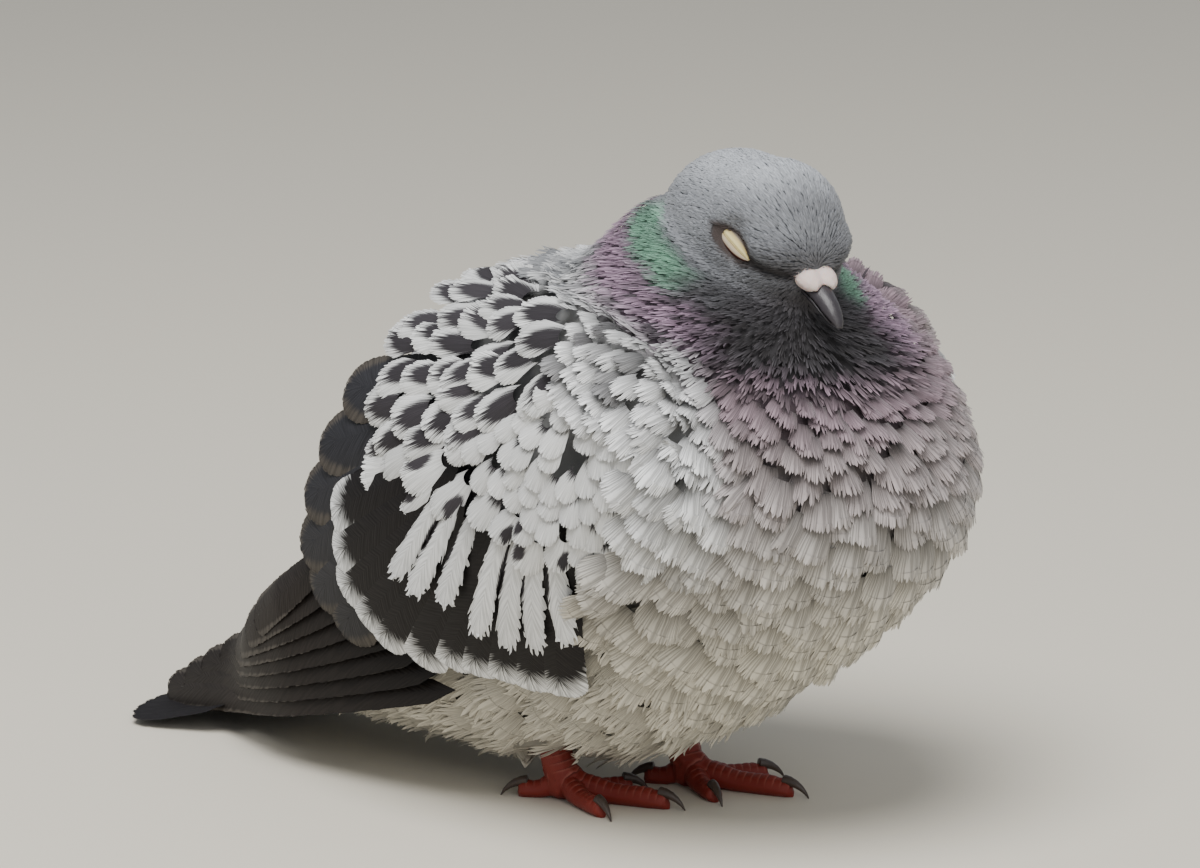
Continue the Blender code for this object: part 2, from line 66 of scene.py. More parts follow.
# ---- small tools ---------------------------------------------------------------------------------

def unit(vectors):
    return vectors / np.maximum(np.linalg.norm(vectors, axis=-1, keepdims=True), 1e-12)


def ramp(values, low, high):
    """0 up to low and 1 from high on, with a smooth rise between them."""
    t = np.clip((values - low) / (high - low), 0, 1)
    return t * t * (3 - 2 * t)


def linear(code):
    """An sRGB hex colour as linear red, green and blue."""
    parts = np.array([int(code[i:i + 2], 16) / 255 for i in (1, 3, 5)])
    return np.where(parts <= 0.04045, parts / 12.92, ((parts + 0.055) / 1.055) ** 2.4)


def rgba(code):
    """The same as what a colour socket takes."""
    return (*linear(code), 1)


def mix(first, second, share):
    return first + (second - first) * np.asarray(share)[..., None]


def read(table, at):
    """A table's second column, read at places of its first."""
    return np.interp(at, *np.array(table).T)


def wander(points, size, seed=0.0):
    """Smooth noise between about -1 and 1 at each point, with lumps of the given size."""
    shift = Vector((seed * 7.3, seed * 3.1, seed * 5.7))
    return np.array([noise.noise(Vector(point) / size + shift) for point in points.tolist()])


def middle(node):
    low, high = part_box(node)
    return np.array((low + high) / 2)


def link(name, mesh):
    obj = bpy.data.objects.new(name, mesh)
    bpy.context.scene.collection.objects.link(obj)
    return obj


def apply_modifiers(obj):
    bpy.context.view_layer.update()
    graph = bpy.context.evaluated_depsgraph_get()
    mesh = bpy.data.meshes.new_from_object(obj.evaluated_get(graph))
    old, name = obj.data, obj.data.name
    obj.modifiers.clear()
    obj.data = mesh
    bpy.data.meshes.remove(old)
    mesh.name = name


def read_all(items, field, width=3, kind=float):
    """One field of all of a mesh's items, with a row for each."""
    flat = np.empty(len(items) * width, kind)
    items.foreach_get(field, flat)
    return flat.reshape(-1, width)


def vertices_of(obj):
    return read_all(obj.data.vertices, "co")


def normals_of(obj):
    return read_all(obj.data.vertex_normals, "vector")


def move_vertices(obj, points):
    obj.data.vertices.foreach_set("co", points.ravel())
    obj.data.update()


def closed_shell(name, nodes, voxel, smoothing, balls=()):
    """One closed surface round the given nodes of the frame, and round some balls."""
    bm = bmesh.new()
    for node in nodes:
        bm.from_mesh(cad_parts[node].data)
    for place, radius in balls:
        bmesh.ops.create_icosphere(bm, subdivisions=3, radius=radius, matrix=Matrix.Translation(place))
    mesh = bpy.data.meshes.new(name)
    bm.to_mesh(mesh)
    bm.free()
    obj = link(name, mesh)
    remesh = obj.modifiers.new("Remesh", "REMESH")
    remesh.mode = "VOXEL"
    remesh.voxel_size = voxel
    smooth = obj.modifiers.new("Smooth", "SMOOTH")
    smooth.factor = 0.5
    smooth.iterations = smoothing
    apply_modifiers(obj)
    obj.data.shade_smooth()
    return obj


def set_points(mesh, name, kind, values):
    """A value for each vertex, which the materials read by its name."""
    attribute = mesh.attributes.new(name, kind, "POINT")
    if kind == "FLOAT_COLOR":
        values = np.concatenate([values, np.ones((len(values), 1))], axis=1)
    field = {"FLOAT_COLOR": "color", "FLOAT_VECTOR": "vector", "FLOAT": "value"}[kind]
    attribute.data.foreach_set(field, np.ascontiguousarray(values).ravel())


def grid_triangles(columns, rows):
    """Two triangles for each cell of a grid of vertices, numbered down its columns."""
    corner = np.arange((columns + 1) * (rows + 1)).reshape(columns + 1, rows + 1)
    a, b, c, d = corner[:-1, :-1], corner[1:, :-1], corner[1:, 1:], corner[:-1, 1:]
    return np.stack([a, b, c, a, c, d], -1).reshape(-1, 3)


def triangle_mesh(name, points, triangles):
    mesh = bpy.data.meshes.new(name)
    mesh.vertices.add(len(points))
    mesh.vertices.foreach_set("co", points.ravel())
    mesh.loops.add(triangles.size)
    mesh.loops.foreach_set("vertex_index", triangles.ravel())
    mesh.polygons.add(len(triangles))
    mesh.polygons.foreach_set("loop_start", np.arange(0, triangles.size, 3))
    mesh.polygons.foreach_set("use_smooth", np.ones(len(triangles), bool))
    mesh.update(calc_edges=True)
    mesh.validate()
    return mesh


def bake_map(mesh, place_of_vertex):
    """The map named OFBake, from a place for each vertex."""
    corners = read_all(mesh.loops, "vertex_index", 1, np.int32)[:, 0]
    layer = mesh.uv_layers.new(name="OFBake")
    layer.data.foreach_set("uv", place_of_vertex[corners].ravel())


def dress(piece, finish, slot, *nodes):
    """Gives a piece its finish and lets it stand for some nodes of the frame; slot is not used."""
    piece.data.materials.clear()
    piece.data.materials.append(finish)
    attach(piece, "root")
    if nodes:
        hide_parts(*nodes)


NEXT_CELLS = tuple(itertools.product((-1, 0, 1), repeat=3))


class Surface:
    """A closed surface that feathers grow on: its nearest points, smooth normals and places by number."""

    def __init__(self, obj):
        self.points = vertices_of(obj)
        self.normals = normals_of(obj)
        obj.data.calc_loop_triangles()
        self.triangles = read_all(obj.data.loop_triangles, "vertices", 3, np.int32)
        self.tree = BVHTree.FromPolygons(self.points.tolist(), self.triangles.tolist())

    def nearest(self, points):
        """(nearest point, normal, triangle) for each point."""
        found = [self.tree.find_nearest(point) for point in points.tolist()]
        index = np.array([hit[2] for hit in found])
        normals = self.normals[self.triangles[index]].mean(1)
        return np.array([tuple(hit[0]) for hit in found]), unit(normals), index

    def scatter(self, spacing, keep, rng, tries=9):
        """Places spread evenly over what keep allows, no two of them closer than spacing there."""
        corners = self.points[self.triangles]
        edges = corners[:, 1:] - corners[:, :1]
        areas = np.linalg.norm(np.cross(edges[:, 0], edges[:, 1]), axis=1) / 2
        centres = corners.mean(1)
        allowed = keep(centres, self.normals[self.triangles].mean(1))
        gaps = spacing(centres)
        weights = np.where(allowed, areas / gaps**2, 0.0)
        count = int(weights.sum() * tries)
        picked = rng.choice(len(areas), count, p=weights / weights.sum())
        a, b = rng.random((2, count, 1))
        flip = a + b > 1
        a, b = np.where(flip, 1 - a, a), np.where(flip, 1 - b, b)
        first, second, third = np.moveaxis(corners[picked], 1, 0)
        places = first + (second - first) * a + (third - first) * b
        gaps = gaps[picked]
        cell = gaps.max()
        taken = {}
        chosen = []
        for number, (place, gap) in enumerate(zip(places.tolist(), gaps.tolist())):
            x, y, z = (int(value // cell) for value in place)
            near = (taken.get((x + i, y + j, z + k), ()) for i, j, k in NEXT_CELLS)
            if all(math.dist(place, other) > gap for group in near for other in group):
                taken.setdefault((x, y, z), []).append(place)
                chosen.append(number)
        return places[chosen]


# ---- where things are ----------------------------------------------------------------------------

EYE_PLACES = {side: middle(f"eye_{side}") for side in SIDES}
HEAD_ACROSS = unit(EYE_PLACES["left"] - EYE_PLACES["right"])
HEAD_UP = np.array((0.0, 0.0, 1.0))
HEAD_AHEAD = unit(np.cross(HEAD_UP, HEAD_ACROSS)) * -1
HEAD_AXES = np.array((HEAD_ACROSS, HEAD_AHEAD, HEAD_UP))
EYE_AHEAD = 10.3 * MM  # how far the eyes lie ahead of the head's centre
EYE_ABOVE = 1.6 * MM
HEAD_CENTRE = (EYE_PLACES["left"] + EYE_PLACES["right"]) / 2 - HEAD_AHEAD * EYE_AHEAD - HEAD_UP * EYE_ABOVE
BILL_BASE = middle("cere")
TAIL_TIP = np.array((0.0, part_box("tail")[1].y, 3 * MM))

# Places on the head are (to its left, ahead, up), in mm from its centre.
LID_PLACE = np.array((14.2, 10.4, 0.3))  # of the left lids' middle
LID_OUT = np.array((0.9, 0.3, 0.06))  # the ways out of them and along them, before they slope
LID_AHEAD = np.array((-0.45, 1.0, 0.0))
LID_SLOPE = math.radians(38)  # from the rear corner down to the front one
LID_HALF_LENGTH = 5.4
LID_HALF_WIDTH = 2.4
LID_REACH = 9.0  # no place further than this is on the lids
LID_CLEARANCE = 1.02  # how near to the lids a plume comes: 1 is their rim
LORE_CREASE = ((14.0, -3.2), (21.5, -6.2))  # its ends from the side: (ahead, up)
CREASE_WIDTH = 0.7  # how near to the crease's middle a plume comes
CREASE_DEPTH = 1.1
CREASE_SPREAD = 2.2
BROW_RISE = 1.2  # how far the brow stands out over the crease
BROW_SPREAD = 3.2
BROW_ABOVE = 4.2  # and how far above it
FACE_ROUND_CREASE = 7.0  # how far from the crease the smallest plumes grow
FACE_ROUND_LIDS = 2.6  # and how far from the lids' middle: 1 is their rim
BILL_SEAT = (np.array((0, 19.0, -6.0)), 6.2)  # place and radius of a ball that fills the face behind the bill


def in_head(points):
    """Places relative to the head, in mm: to its left, ahead and up."""
    return (points - HEAD_CENTRE) @ HEAD_AXES.T / MM


def from_head(spots):
    """The opposite: where places on the head are."""
    return HEAD_CENTRE + (spots * MM) @ HEAD_AXES


def from_head_mm(points):
    return np.linalg.norm(points - HEAD_CENTRE, axis=-1) / MM


def lid_axes(side):
    """The middle of an eye's lids, the way along them to the front corner, up across them, and out."""
    mirror = np.array((SIDES[side], 1, 1))
    out = unit(LID_OUT * mirror)
    along = unit(LID_AHEAD * mirror) * math.cos(LID_SLOPE) - HEAD_UP * math.sin(LID_SLOPE)
    along = unit(along - out * (along @ out))
    up = np.cross(out, along) * SIDES[side]
    return LID_PLACE * mirror, along, up, out


def from_lore(points):
    """Distance in mm, seen from the side, from the crease between the lids' front corner and the cere."""
    spots = in_head(points)[:, 1:]
    start, end = np.array(LORE_CREASE)
    share = np.clip((spots - start) @ (end - start) / ((end - start) @ (end - start)), 0, 1)
    return np.linalg.norm(spots - start - share[:, None] * (end - start), axis=1)


def on_lids(points):
    """How far a place is from the middle of the nearer lids: 1 on their rim."""
    spots = in_head(points)
    nearest = np.full(len(points), np.inf)
    for side in SIDES:
        place, along, up, _ = lid_axes(side)
        away = spots - place
        close = np.linalg.norm(away, axis=1) < LID_REACH
        size = np.hypot(away @ along / LID_HALF_LENGTH, away @ up / LID_HALF_WIDTH)
        nearest = np.where(close, np.minimum(nearest, size), nearest)
    return nearest


# ---- the markings and painted light and shade, the same on skin and coat -------------------------

SLATE = linear("#8a8d93")
# lighter than the slate below it: painted light from above
CROWN = linear("#aeb2b8")
CHEEK = linear("#727479")
CHARCOAL = linear("#4a474b")
GREEN = linear("#82bd9d")
VIOLET = linear("#aa8ea6")
MAUVE = linear("#8d7b82")
ROSE_GREY = linear("#a29898")
PALE = linear("#b8b4b1")
CREAM = linear("#c8c3b5")
SIDE_WHITE = linear("#e6e7e8")
MANTLE = linear("#8b8d91")
RUMP_GREY = linear("#8b8c90")
TAIL_GREY = linear("#4a494d")
# painted shade, for the crease between eye and bill and for the folds under the bill
PAINTED_CREASE_SHADE = linear("#2b2829")
# partly the lids' own red-brown rim, partly painted shadow under the brow
LID_BROWN_AND_SHADOW = linear("#3a2c26")
FOOT_RED = linear("#7f2a21")
FOLD_SPACING = 6.5  # of the bands of painted shade for the folds under the bill, in mm


BANDS = {  # where a marking begins and where it is full, in mm or in the unit that the text beside it gives
    # up from the head's centre
    "slate": (-8, 6), "crown": (9, 17), "throat": (6, 14), "patch_top": (2, 9),
    # ahead of it, aside of it, and ahead as a share of the distance from it
    "patch_front": (1, 9), "patch_side": (12, 18), "front": (0.25, 0.65),
    "fold_front": (0.2, 0.7),  # by how much front is there already
    # from the lids' middle in their own half widths, and from the crease
    "lid_rim": (1.05, 1.6), "lore": (0.7, 2.6),
    # away from the head's centre
    "skin_shade": (20, 30),
    "nape": (21, 25), "patch_end": (30, 34), "neck_ring": (29, 35), "mauve": (42, 52), "rose": (54, 68),
    "pale": (68, 86), "folds": (26, 31), "folds_end": (48, 58), "side": (40, 48), "belly": (60, 75),
    "back": (36, 44),
    # across, along and up the body
    "side_across": (39, 47), "side_up": (60, 80), "grey_left_up": (100, 110), "belly_down": (-88, -38),
    "back_along": (-46, -30), "back_up": (60, 90), "shoulder_along": (-76, -66), "shoulder_up": (106, 114),
    "rump_along": (18, 34), "rump_up": (12, 30), "tail_along": (58, 76), "tail_up": (8, 14),
    # from the wings' poles, and by the noise of the mottles
    "shoulder": (20, 30), "mottle": (-0.35, 0.35), "shoulder_mottle": (0.0, 0.25),
}
SIDE_SLANT = 0.45  # how the white side band leans back, from y = -80 mm on


def band(values, name):
    return ramp(values, *BANDS[name])


def markings_and_painted_light(points):
    """The plumage's colour at each point, as linear red, green and blue, with some painted light and shade in
    it.
    """
    left, ahead, up = in_head(points).T
    x, y, z = points.T / MM
    reach = from_head_mm(points) + 2.5 * wander(points, 9 * MM, 1)
    front = band(ahead / np.maximum(reach, 1), "front")

    # Painted light: the head's grey grows lighter from cheek over slate to crown, as if lit from above.
    colour = mix(CHEEK, SLATE, band(up, "slate"))
    colour = mix(colour, CROWN, band(up, "crown"))
    # Dark round the lids: partly their own red-brown rim, partly painted shadow under the brow.
    colour = mix(colour, LID_BROWN_AND_SHADOW, 0.9 * (1 - band(on_lids(points), "lid_rim")))
    # Painted shade in the crease between the lids' front corner and the cere.
    colour = mix(colour, PAINTED_CREASE_SHADE, 0.9 * (1 - band(from_lore(points), "lore")))

    colour = mix(colour, CHARCOAL, front * band(-up, "throat") * 0.85)
    nape = band(reach, "nape")
    colour = mix(colour, CHARCOAL, 0.35 * nape)
    patch = nape * (1 - band(reach, "patch_end")) * band(np.abs(left), "patch_side")
    patch *= (1 - band(up, "patch_top")) * (1 - band(ahead - 6 * (left > 0), "patch_front"))
    colour = mix(colour, GREEN, patch * (0.75 + 0.25 * wander(points, 3 * MM, 4)))
    mauve = band(reach, "mauve")
    colour = mix(colour, mix(VIOLET, CHARCOAL, front * (1 - mauve)), band(reach, "neck_ring"))
    colour = mix(colour, MAUVE, mauve * 0.9)
    colour = mix(colour, ROSE_GREY, band(reach, "rose"))
    colour = mix(colour, PALE, band(reach, "pale"))
    # Painted shade: dark bands for the deep folds under the bill, where the plumes themselves stand evenly.
    folds = 0.5 + 0.5 * np.cos(2 * math.pi * (reach + 2 * wander(points, 14 * MM, 6)) / FOLD_SPACING)
    folded = band(front, "fold_front") * band(reach, "folds")
    colour = mix(colour, PAINTED_CREASE_SHADE, 0.75 * folds**2 * folded * (1 - band(reach, "folds_end")))

    side = band(np.abs(x) + SIDE_SLANT * (y + 80), "side_across") * band(reach, "side") * band(z, "side_up")
    side *= 1 - (x > 0) * band(z, "grey_left_up")
    colour = mix(colour, SIDE_WHITE, side)
    colour = mix(colour, CREAM, band(-z, "belly_down") * band(reach, "belly"))

    mottle = mix(MANTLE, SIDE_WHITE, band(wander(points, 4 * MM, 2), "mottle"))
    colour = mix(colour, mottle, band(y, "back_along") * band(z, "back_up") * band(reach, "back"))
    shoulder = (1 - band(from_wing_poles(points), "shoulder")) * band(y, "shoulder_along")
    shoulder *= band(z, "shoulder_up") * band(wander(points, 3.5 * MM, 8), "shoulder_mottle")
    colour = mix(colour, WING_DARK, 0.85 * shoulder)
    colour = mix(colour, RUMP_GREY, band(y, "rump_along") * band(z, "rump_up"))
    return mix(colour, TAIL_GREY, band(y, "tail_along") * band(z, "tail_up"))


# ---- how deep the coat is and how it lies --------------------------------------------------------

FADING = 2.2  # how fast the bill and the tail lose their hold on the lie of the feathers
REACHES = (14, 24, 30, 45, 65, 90, 125)  # distances from the head's centre, in mm
SPACINGS = (0.52, 0.68, 1.35, 2.3, 4.1, 5.6, 6.2)
LENGTHS = (3.4, 4.6, 7.0, 9, 13, 17, 22)
HALF_WIDTHS = (0.4, 0.5, 0.85, 2.4, 5.4, 7.0, 7.4)
LIFTS = (0.35, 0.7, 2.0, 3.6, 5.2, 5.8, 6.0)


def by_reach(sizes, points):
    """Sizes at some points, from their distance to the head."""
    return np.interp(from_head_mm(points), REACHES, sizes) * MM


def lay(points):
    """The way feathers lie: away from the bill, over the body, towards the tail's tip."""
    away = points - BILL_BASE
    towards = TAIL_TIP - points
    field = away / np.linalg.norm(away, axis=1, keepdims=True) ** FADING
    field += towards / np.linalg.norm(towards, axis=1, keepdims=True) ** FADING
    return unit(field)


def along_surface(vectors, normals):
    return unit(vectors - normals * (vectors * normals).sum(-1, keepdims=True))


def turned(vectors, normals, angles):
    """The vectors, turned about the normals by angles in radians."""
    angles = np.asarray(angles)[:, None]
    return vectors * np.cos(angles) + np.cross(normals, vectors) * np.sin(angles)


# ---- feathers ------------------------------------------------------------------------------------

ROOT_HEIGHT = 0.25 * MM  # of a feather's root over the surface that it grows on
BAKE_PATCH = 0.003  # how much of the map named OFBake a feather takes up
STRAND_HEIGHT = 0.04 * MM  # of the strands over the sheet
WIDEST = 1.08  # the largest bearing that a strand strays to


class Feathers:
    """Many feathers of one kind, each with the line of its shaft and the size of its vane.

    points and normals hold a row of places for each feather, from its root to its tip.
    """

    def __init__(self, points, normals, half_widths, cambers):
        self.points = points
        ahead = unit(np.gradient(points, axis=1))
        self.side = unit(np.cross(ahead, normals))
        self.up = np.cross(self.side, ahead)
        self.half_widths = half_widths
        self.cambers = cambers
        self.count = len(points)
        self.lengths = np.linalg.norm(np.diff(points, axis=1), axis=2).sum(1)

    def place(self, u, v, rise):
        """Places at shares u along and v across the vanes, raised off them, with a row for each feather."""
        steps = self.points.shape[1] - 1
        at = u * steps
        first = np.clip(np.floor(at).astype(int), 0, steps - 1)
        share = (at - first)[..., None]

        def along(values):
            start = np.take_along_axis(values, first[..., None], axis=1)
            end = np.take_along_axis(values, first[..., None] + 1, axis=1)
            return start + (end - start) * share

        across = v * self.half_widths[:, None]
        lift = rise - self.cambers[:, None] * self.half_widths[:, None] * v * v
        return along(self.points) + along(self.side) * across[..., None] + along(self.up) * lift[..., None]


def alike(points, normals, half_width, camber):
    """Feathers of one width in mm and one camber."""
    count = len(points)
    return Feathers(points, normals, np.full(count, half_width * MM), np.full(count, camber))


def grow(surface, roots, lengths, half_widths, lifts, rng, heading=lay, steps=5, camber=0.35, stray=0.12):
    """Feathers that follow a surface from their roots, rising to their lifts at the tips."""
    place, normal, _ = surface.nearest(roots)
    points, normals = [], []
    swing = rng.normal(0, stray, len(roots))
    for step in range(steps + 1):
        share = step / steps
        height = lifts * share ** 0.9 + ROOT_HEIGHT
        points.append(place + normal * height[:, None])
        normals.append(normal)
        if step < steps:
            ahead = turned(along_surface(heading(place), normal), normal, swing)
            place, normal, _ = surface.nearest(place + ahead * (lengths / steps)[:, None])
    cambers = camber * rng.uniform(0.7, 1.3, len(roots))
    return Feathers(np.stack(points, 1), np.stack(normals, 1), half_widths, cambers)


@dataclass
class Cut:
    """The cut of a feather: how its vane is drawn as a sheet whose rim breaks up into strands.

    A place on the vane is (bearing, reach): the bearing runs from -1 on one side over 0 at the tip to 1 on
    the other side, and the reach from 0 at the root to 1 at the rim.
    """

    columns: int  # the sheet's cells along the bearing
    rows: int  # and along the reach
    strands: int
    fringe: float  # the strands' share of the reach
    cap: float = 0.5  # where along the feather its rounded end begins
    blunt: float = 0.75  # under 1 for a squarer end, over 1 for a pointed one
    ragged: float = 0.12  # how uneven the strands' lengths are
    splay: float = 0.5  # how far a strand's tip strays, in strand widths
    curl: float = 0.03  # how far it strays off the vane, as a share of the length
    gape: float = 0.9  # how wide a strand is where it starts to taper, in strand widths
    flare: float = 1.0  # 1 for a vane that widens evenly from its root, less for a fuller one
    start: float = 0.38  # the reach where the sheet begins: what lies below it is always covered

    def on_vane(self, bearing, reach):
        """(along, across) on the vane."""
        angle = np.abs(bearing) * math.pi / 2
        across = np.sin(angle) ** self.blunt * np.sign(bearing)
        along = self.cap + (1 - self.cap) * np.cos(angle).clip(0, 1) ** self.blunt
        return along * reach, across * reach ** self.flare

    def sheet(self, count):
        """(bearing, reach, triangles) of the sheet."""
        bearings = np.linspace(-1, 1, self.columns + 1)
        reaches = np.linspace(self.start, 1 - self.fringe * 0.85, self.rows + 1)
        bearing, reach = (grid.ravel() for grid in np.meshgrid(bearings, reaches, indexing="ij"))
        triangles = grid_triangles(self.columns, self.rows)
        return np.tile(bearing, (count, 1)), np.tile(reach, (count, 1)), triangles

    def fringe_strands(self, count, rng):
        """(bearing, reach, curl, triangles) of the strands along the rim."""
        width = 2 / self.strands
        middle_bearing = np.linspace(-1, 1, self.strands, endpoint=False) + width / 2
        middle_bearing = middle_bearing + rng.normal(0, 0.15, (count, self.strands)) * width
        start = 1 - self.fringe
        tip = 1 - self.fringe * np.abs(rng.normal(0, self.ragged / 0.3, (count, self.strands))).clip(0, 0.8)
        stray = rng.normal(0, self.splay, (count, self.strands)) * width
        rise = rng.normal(0, self.curl, (count, self.strands))
        bearing, reach, curl = [], [], []
        for share, half in ((0.0, 0.6), (0.72, 0.48 * self.gape)):
            for sign in (-1, 1):
                bearing.append(middle_bearing + sign * half * width + stray * share * share)
                reach.append(start + (tip - start) * share)
                curl.append(rise * share * share)
        bearing.append(middle_bearing + stray)
        reach.append(tip)
        curl.append(rise)
        corner = np.arange(self.strands)[:, None] * 5
        one = np.array([(0, 1, 3), (0, 3, 2), (2, 3, 4)])
        triangles = (corner[:, None] + one).reshape(-1, 3)
        stacked = [np.stack(values, -1).reshape(count, -1) for values in (bearing, reach, curl)]
        return *stacked, triangles


@dataclass
class Blade(Cut):
    """The cut of a long stiff feather: barbs that slant from its shaft to a rim with two parallel sides."""

    curl: float = 0.001
    start: float = 0.0
    slant: float = 0.12  # how far along the feather a barb reaches
    end_share: float = 0.35  # the share of the bearings that goes round the end
    foot: float = 0.05  # where the vane begins

    def on_vane(self, bearing, reach):
        size = np.abs(bearing)
        turn = np.clip(size / self.end_share, 0, 1) * math.pi / 2
        down = np.clip((size - self.end_share) / (1 - self.end_share), 0, 1)
        rim = self.cap + (1 - self.cap) * np.cos(turn) ** self.blunt
        rim -= down * (self.cap - self.foot - self.slant)
        across = np.sin(turn) ** self.blunt * np.sign(bearing) * (1 - 0.45 * down ** 3)
        return rim - self.slant * (1 - reach), across * reach


def vanes(name, feathers, cut, rng, colours, skin, roots=None, marks=None):
    """One mesh of all the feathers, with what their material reads at each vertex.

    colours is one colour, or one a feather. marks is the colour of an oval mark and its place and size on the
    vane: how far off the shaft, how far along, and half its width and length.
    """
    count = feathers.count
    bearing, reach, triangles = cut.sheet(count)
    strand_bearing, strand_reach, curl, strand_triangles = cut.fringe_strands(count, rng)
    rise = np.concatenate([np.zeros_like(bearing), curl * feathers.lengths[:, None] + STRAND_HEIGHT], axis=1)
    triangles = np.concatenate([triangles, strand_triangles + bearing.shape[1]])
    bearing = np.concatenate([bearing, strand_bearing], axis=1).clip(-WIDEST, WIDEST)
    reach = np.concatenate([reach, strand_reach], axis=1)
    along, across = cut.on_vane(bearing, reach)
    points = feathers.place(along, across, rise).reshape(-1, 3)
    points[:, 2] = np.maximum(points[:, 2], FLOOR_CLEARANCE)
    size = bearing.shape[1]
    all_triangles = (triangles + (np.arange(count) * size)[:, None, None]).reshape(-1, 3)
    mesh = triangle_mesh(name, points, all_triangles)

    def per_vertex(values):
        return np.repeat(np.broadcast_to(values, (count, 3)), size, axis=0)

    set_points(mesh, "tint", "FLOAT_COLOR", per_vertex(colours))
    set_points(mesh, "vane", "FLOAT_VECTOR", np.stack([across, along, reach], -1).reshape(-1, 3))
    set_points(mesh, "bearing", "FLOAT", bearing.ravel())
    if marks:
        dark, *mark = marks
        off_shaft, along_shaft, half_width, half_length = (np.broadcast_to(v, count)[:, None] for v in mark)
        set_points(mesh, "dark", "FLOAT_COLOR", per_vertex(dark))
        far = np.hypot((across - off_shaft) / half_width, (along - along_shaft) / half_length)
        set_points(mesh, "from_mark", "FLOAT", far.ravel())
    patch = np.stack([across * 0.5, along - 0.5], -1) * BAKE_PATCH
    roots = feathers.points[:, 0] if roots is None else roots
    bake_map(mesh, (skin.map_at(roots)[:, None] + patch).clip(0, 1).reshape(-1, 2))
    return link(name, mesh)


class Skin(Surface):
    """The skin, with its own unwrap in the map named OFBake."""

    def __init__(self, obj):
        super().__init__(obj)
        self.map = read_all(obj.data.uv_layers["OFBake"].data, "uv", 2)
        self.loops = read_all(obj.data.loop_triangles, "loops", 3, np.int32)

    def map_at(self, points):
        index = self.nearest(points)[2]
        return self.map[self.loops[index]].mean(1)


# ---- the frame's nodes as guides -----------------------------------------------------------------

WING_COAT = 2.6 * MM  # how deep the feathers of a wing lie on each other


def plates_of(side):
    """The nodes of a wing that its small feathers lie on."""
    return (f"wing_{side}_coverts", f"wing_{side}_secondaries")


WING_PLATES = plates_of("right") + plates_of("left")


class Nearby:
    """Tells which node of the frame a place is nearest to."""

    def __init__(self, nodes):
        self.nodes = nodes
        points, triangles, owners = [], [], []
        start = 0
        for number, node in enumerate(nodes):
            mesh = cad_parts[node].data
            mesh.calc_loop_triangles()
            points += [tuple(v.co) for v in mesh.vertices]
            triangles += [tuple(start + k for k in t.vertices) for t in mesh.loop_triangles]
            owners += [number] * len(mesh.loop_triangles)
            start += len(mesh.vertices)
        self.owners = np.array(owners)
        self.tree = BVHTree.FromPolygons(points, triangles)

    def is_one_of(self, points, wanted):
        index = np.array([self.tree.find_nearest(point)[2] for point in points.tolist()])
        return np.isin(self.owners[index], [self.nodes.index(node) for node in wanted])


def distance_to(nodes, points):
    tree = Nearby(nodes).tree
    return np.array([tree.find_nearest(point)[3] for point in points.tolist()])


# ---- the skin ------------------------------------------------------------------------------------

BODY_VOXEL = 1.3 * MM
FOOT_VOXEL = 0.42 * MM
FOOT_GROWTH = 0.3 * MM  # makes up for what the smoothing takes off, but not on the soles


def coat_depth(points):
    """How far the skin lies under the plumes' tips."""
    return by_reach(LIFTS, points) * 0.95


def bed_depth(points):
    """The same for the bed, which the wings' feathers lie flatter on."""
    wing = 1 - ramp(distance_to(WING_PLATES, points), 0.5 * MM, 5 * MM)
    return coat_depth(points) * (1 - wing) + WING_COAT * wing - face_shape(points)


def face_shape(points):
    """How far the face stands out from the frame's head: a brow over the crease between eye and bill."""
    crease = np.exp(-((from_lore(points) / CREASE_SPREAD) ** 2))
    below = points - np.array((0, 0, BROW_ABOVE * MM))
    brow = np.exp(-((from_lore(below) / BROW_SPREAD) ** 2)) * ramp(on_lids(points), 1.1, 2.2)
    return (BROW_RISE * brow - CREASE_DEPTH * crease) * MM


def head_and_body(name, nodes, smoothing, depths):
    """One surface of the nodes and of the face behind the bill, set back by some depths."""
    seat, radius = BILL_SEAT
    piece = closed_shell(name, nodes, BODY_VOXEL, smoothing, ((from_head(seat), radius * MM),))
    points, normals = vertices_of(piece), normals_of(piece)
    move_vertices(piece, points - normals * depths(points)[:, None])
    return piece


def build_skin():
    """(the skin of body, head and feet as one closed surface under the coat, the body's surface alone)"""
    skin = head_and_body("skin", FLESH + EYES, 8, lambda points: coat_depth(points) - face_shape(points))
    body = Surface(skin)
    feet = closed_shell("feet", LEGS, FOOT_VOXEL, 3)
    move_vertices(feet, blunt_toes(vertices_of(feet)))
    points, normals = vertices_of(feet), normals_of(feet)
    growth = FOOT_GROWTH * ramp(points[:, 2], 0.4 * MM, 1.2 * MM) + scutes(points)[:, 3]
    move_vertices(feet, points + normals * growth[:, None])
    join = skin.modifiers.new("Feet", "BOOLEAN")
    join.operation = "UNION"
    join.solver = "MANIFOLD"
    join.object = feet
    apply_modifiers(skin)
    bpy.data.objects.remove(feet)
    skin.data.shade_smooth()
    unwrap(skin)
    return skin, body


FEET = {  # where the ankles are, and each toe's bearing in degrees to the left of ahead, and its length in mm
    "right": ((-13.8, -19.6), (-2.0, 6.5), {"hind": (-150, 13), "inner": (52, 19), "middle": (16, 29),
                                            "outer": (-24, 22)}),
    "left": ((13.8, -36.4), (2.0, 9.5), {"hind": (-154, 13), "inner": (-31, 19), "middle": (14, 29),
                                         "outer": (54, 22)}),
}
ANKLE_HEIGHT = 3.9
TARSUS_TOP = 27.0
TOE_HEIGHT = 1.8  # of a toe's axis at its end
FOOT_TOP = 24.0  # above it there are no scutes
FOOT_RADIUS = 5.2  # round the toes' and the tarsus' axes
SCUTE_LENGTH = 1.9
SCUTE_RISE = 0.22
TOE_RADIUS = 3.6
TOE_TOP = 7.0
TOE_END = 3.2  # how far back from a toe's length its end starts
TOE_CUT = 0.6  # the share of the end that is drawn back


def toe_way(bearing):
    """The level way that a toe points."""
    turn = math.radians(bearing)
    return np.array((math.sin(turn), -math.cos(turn), 0))


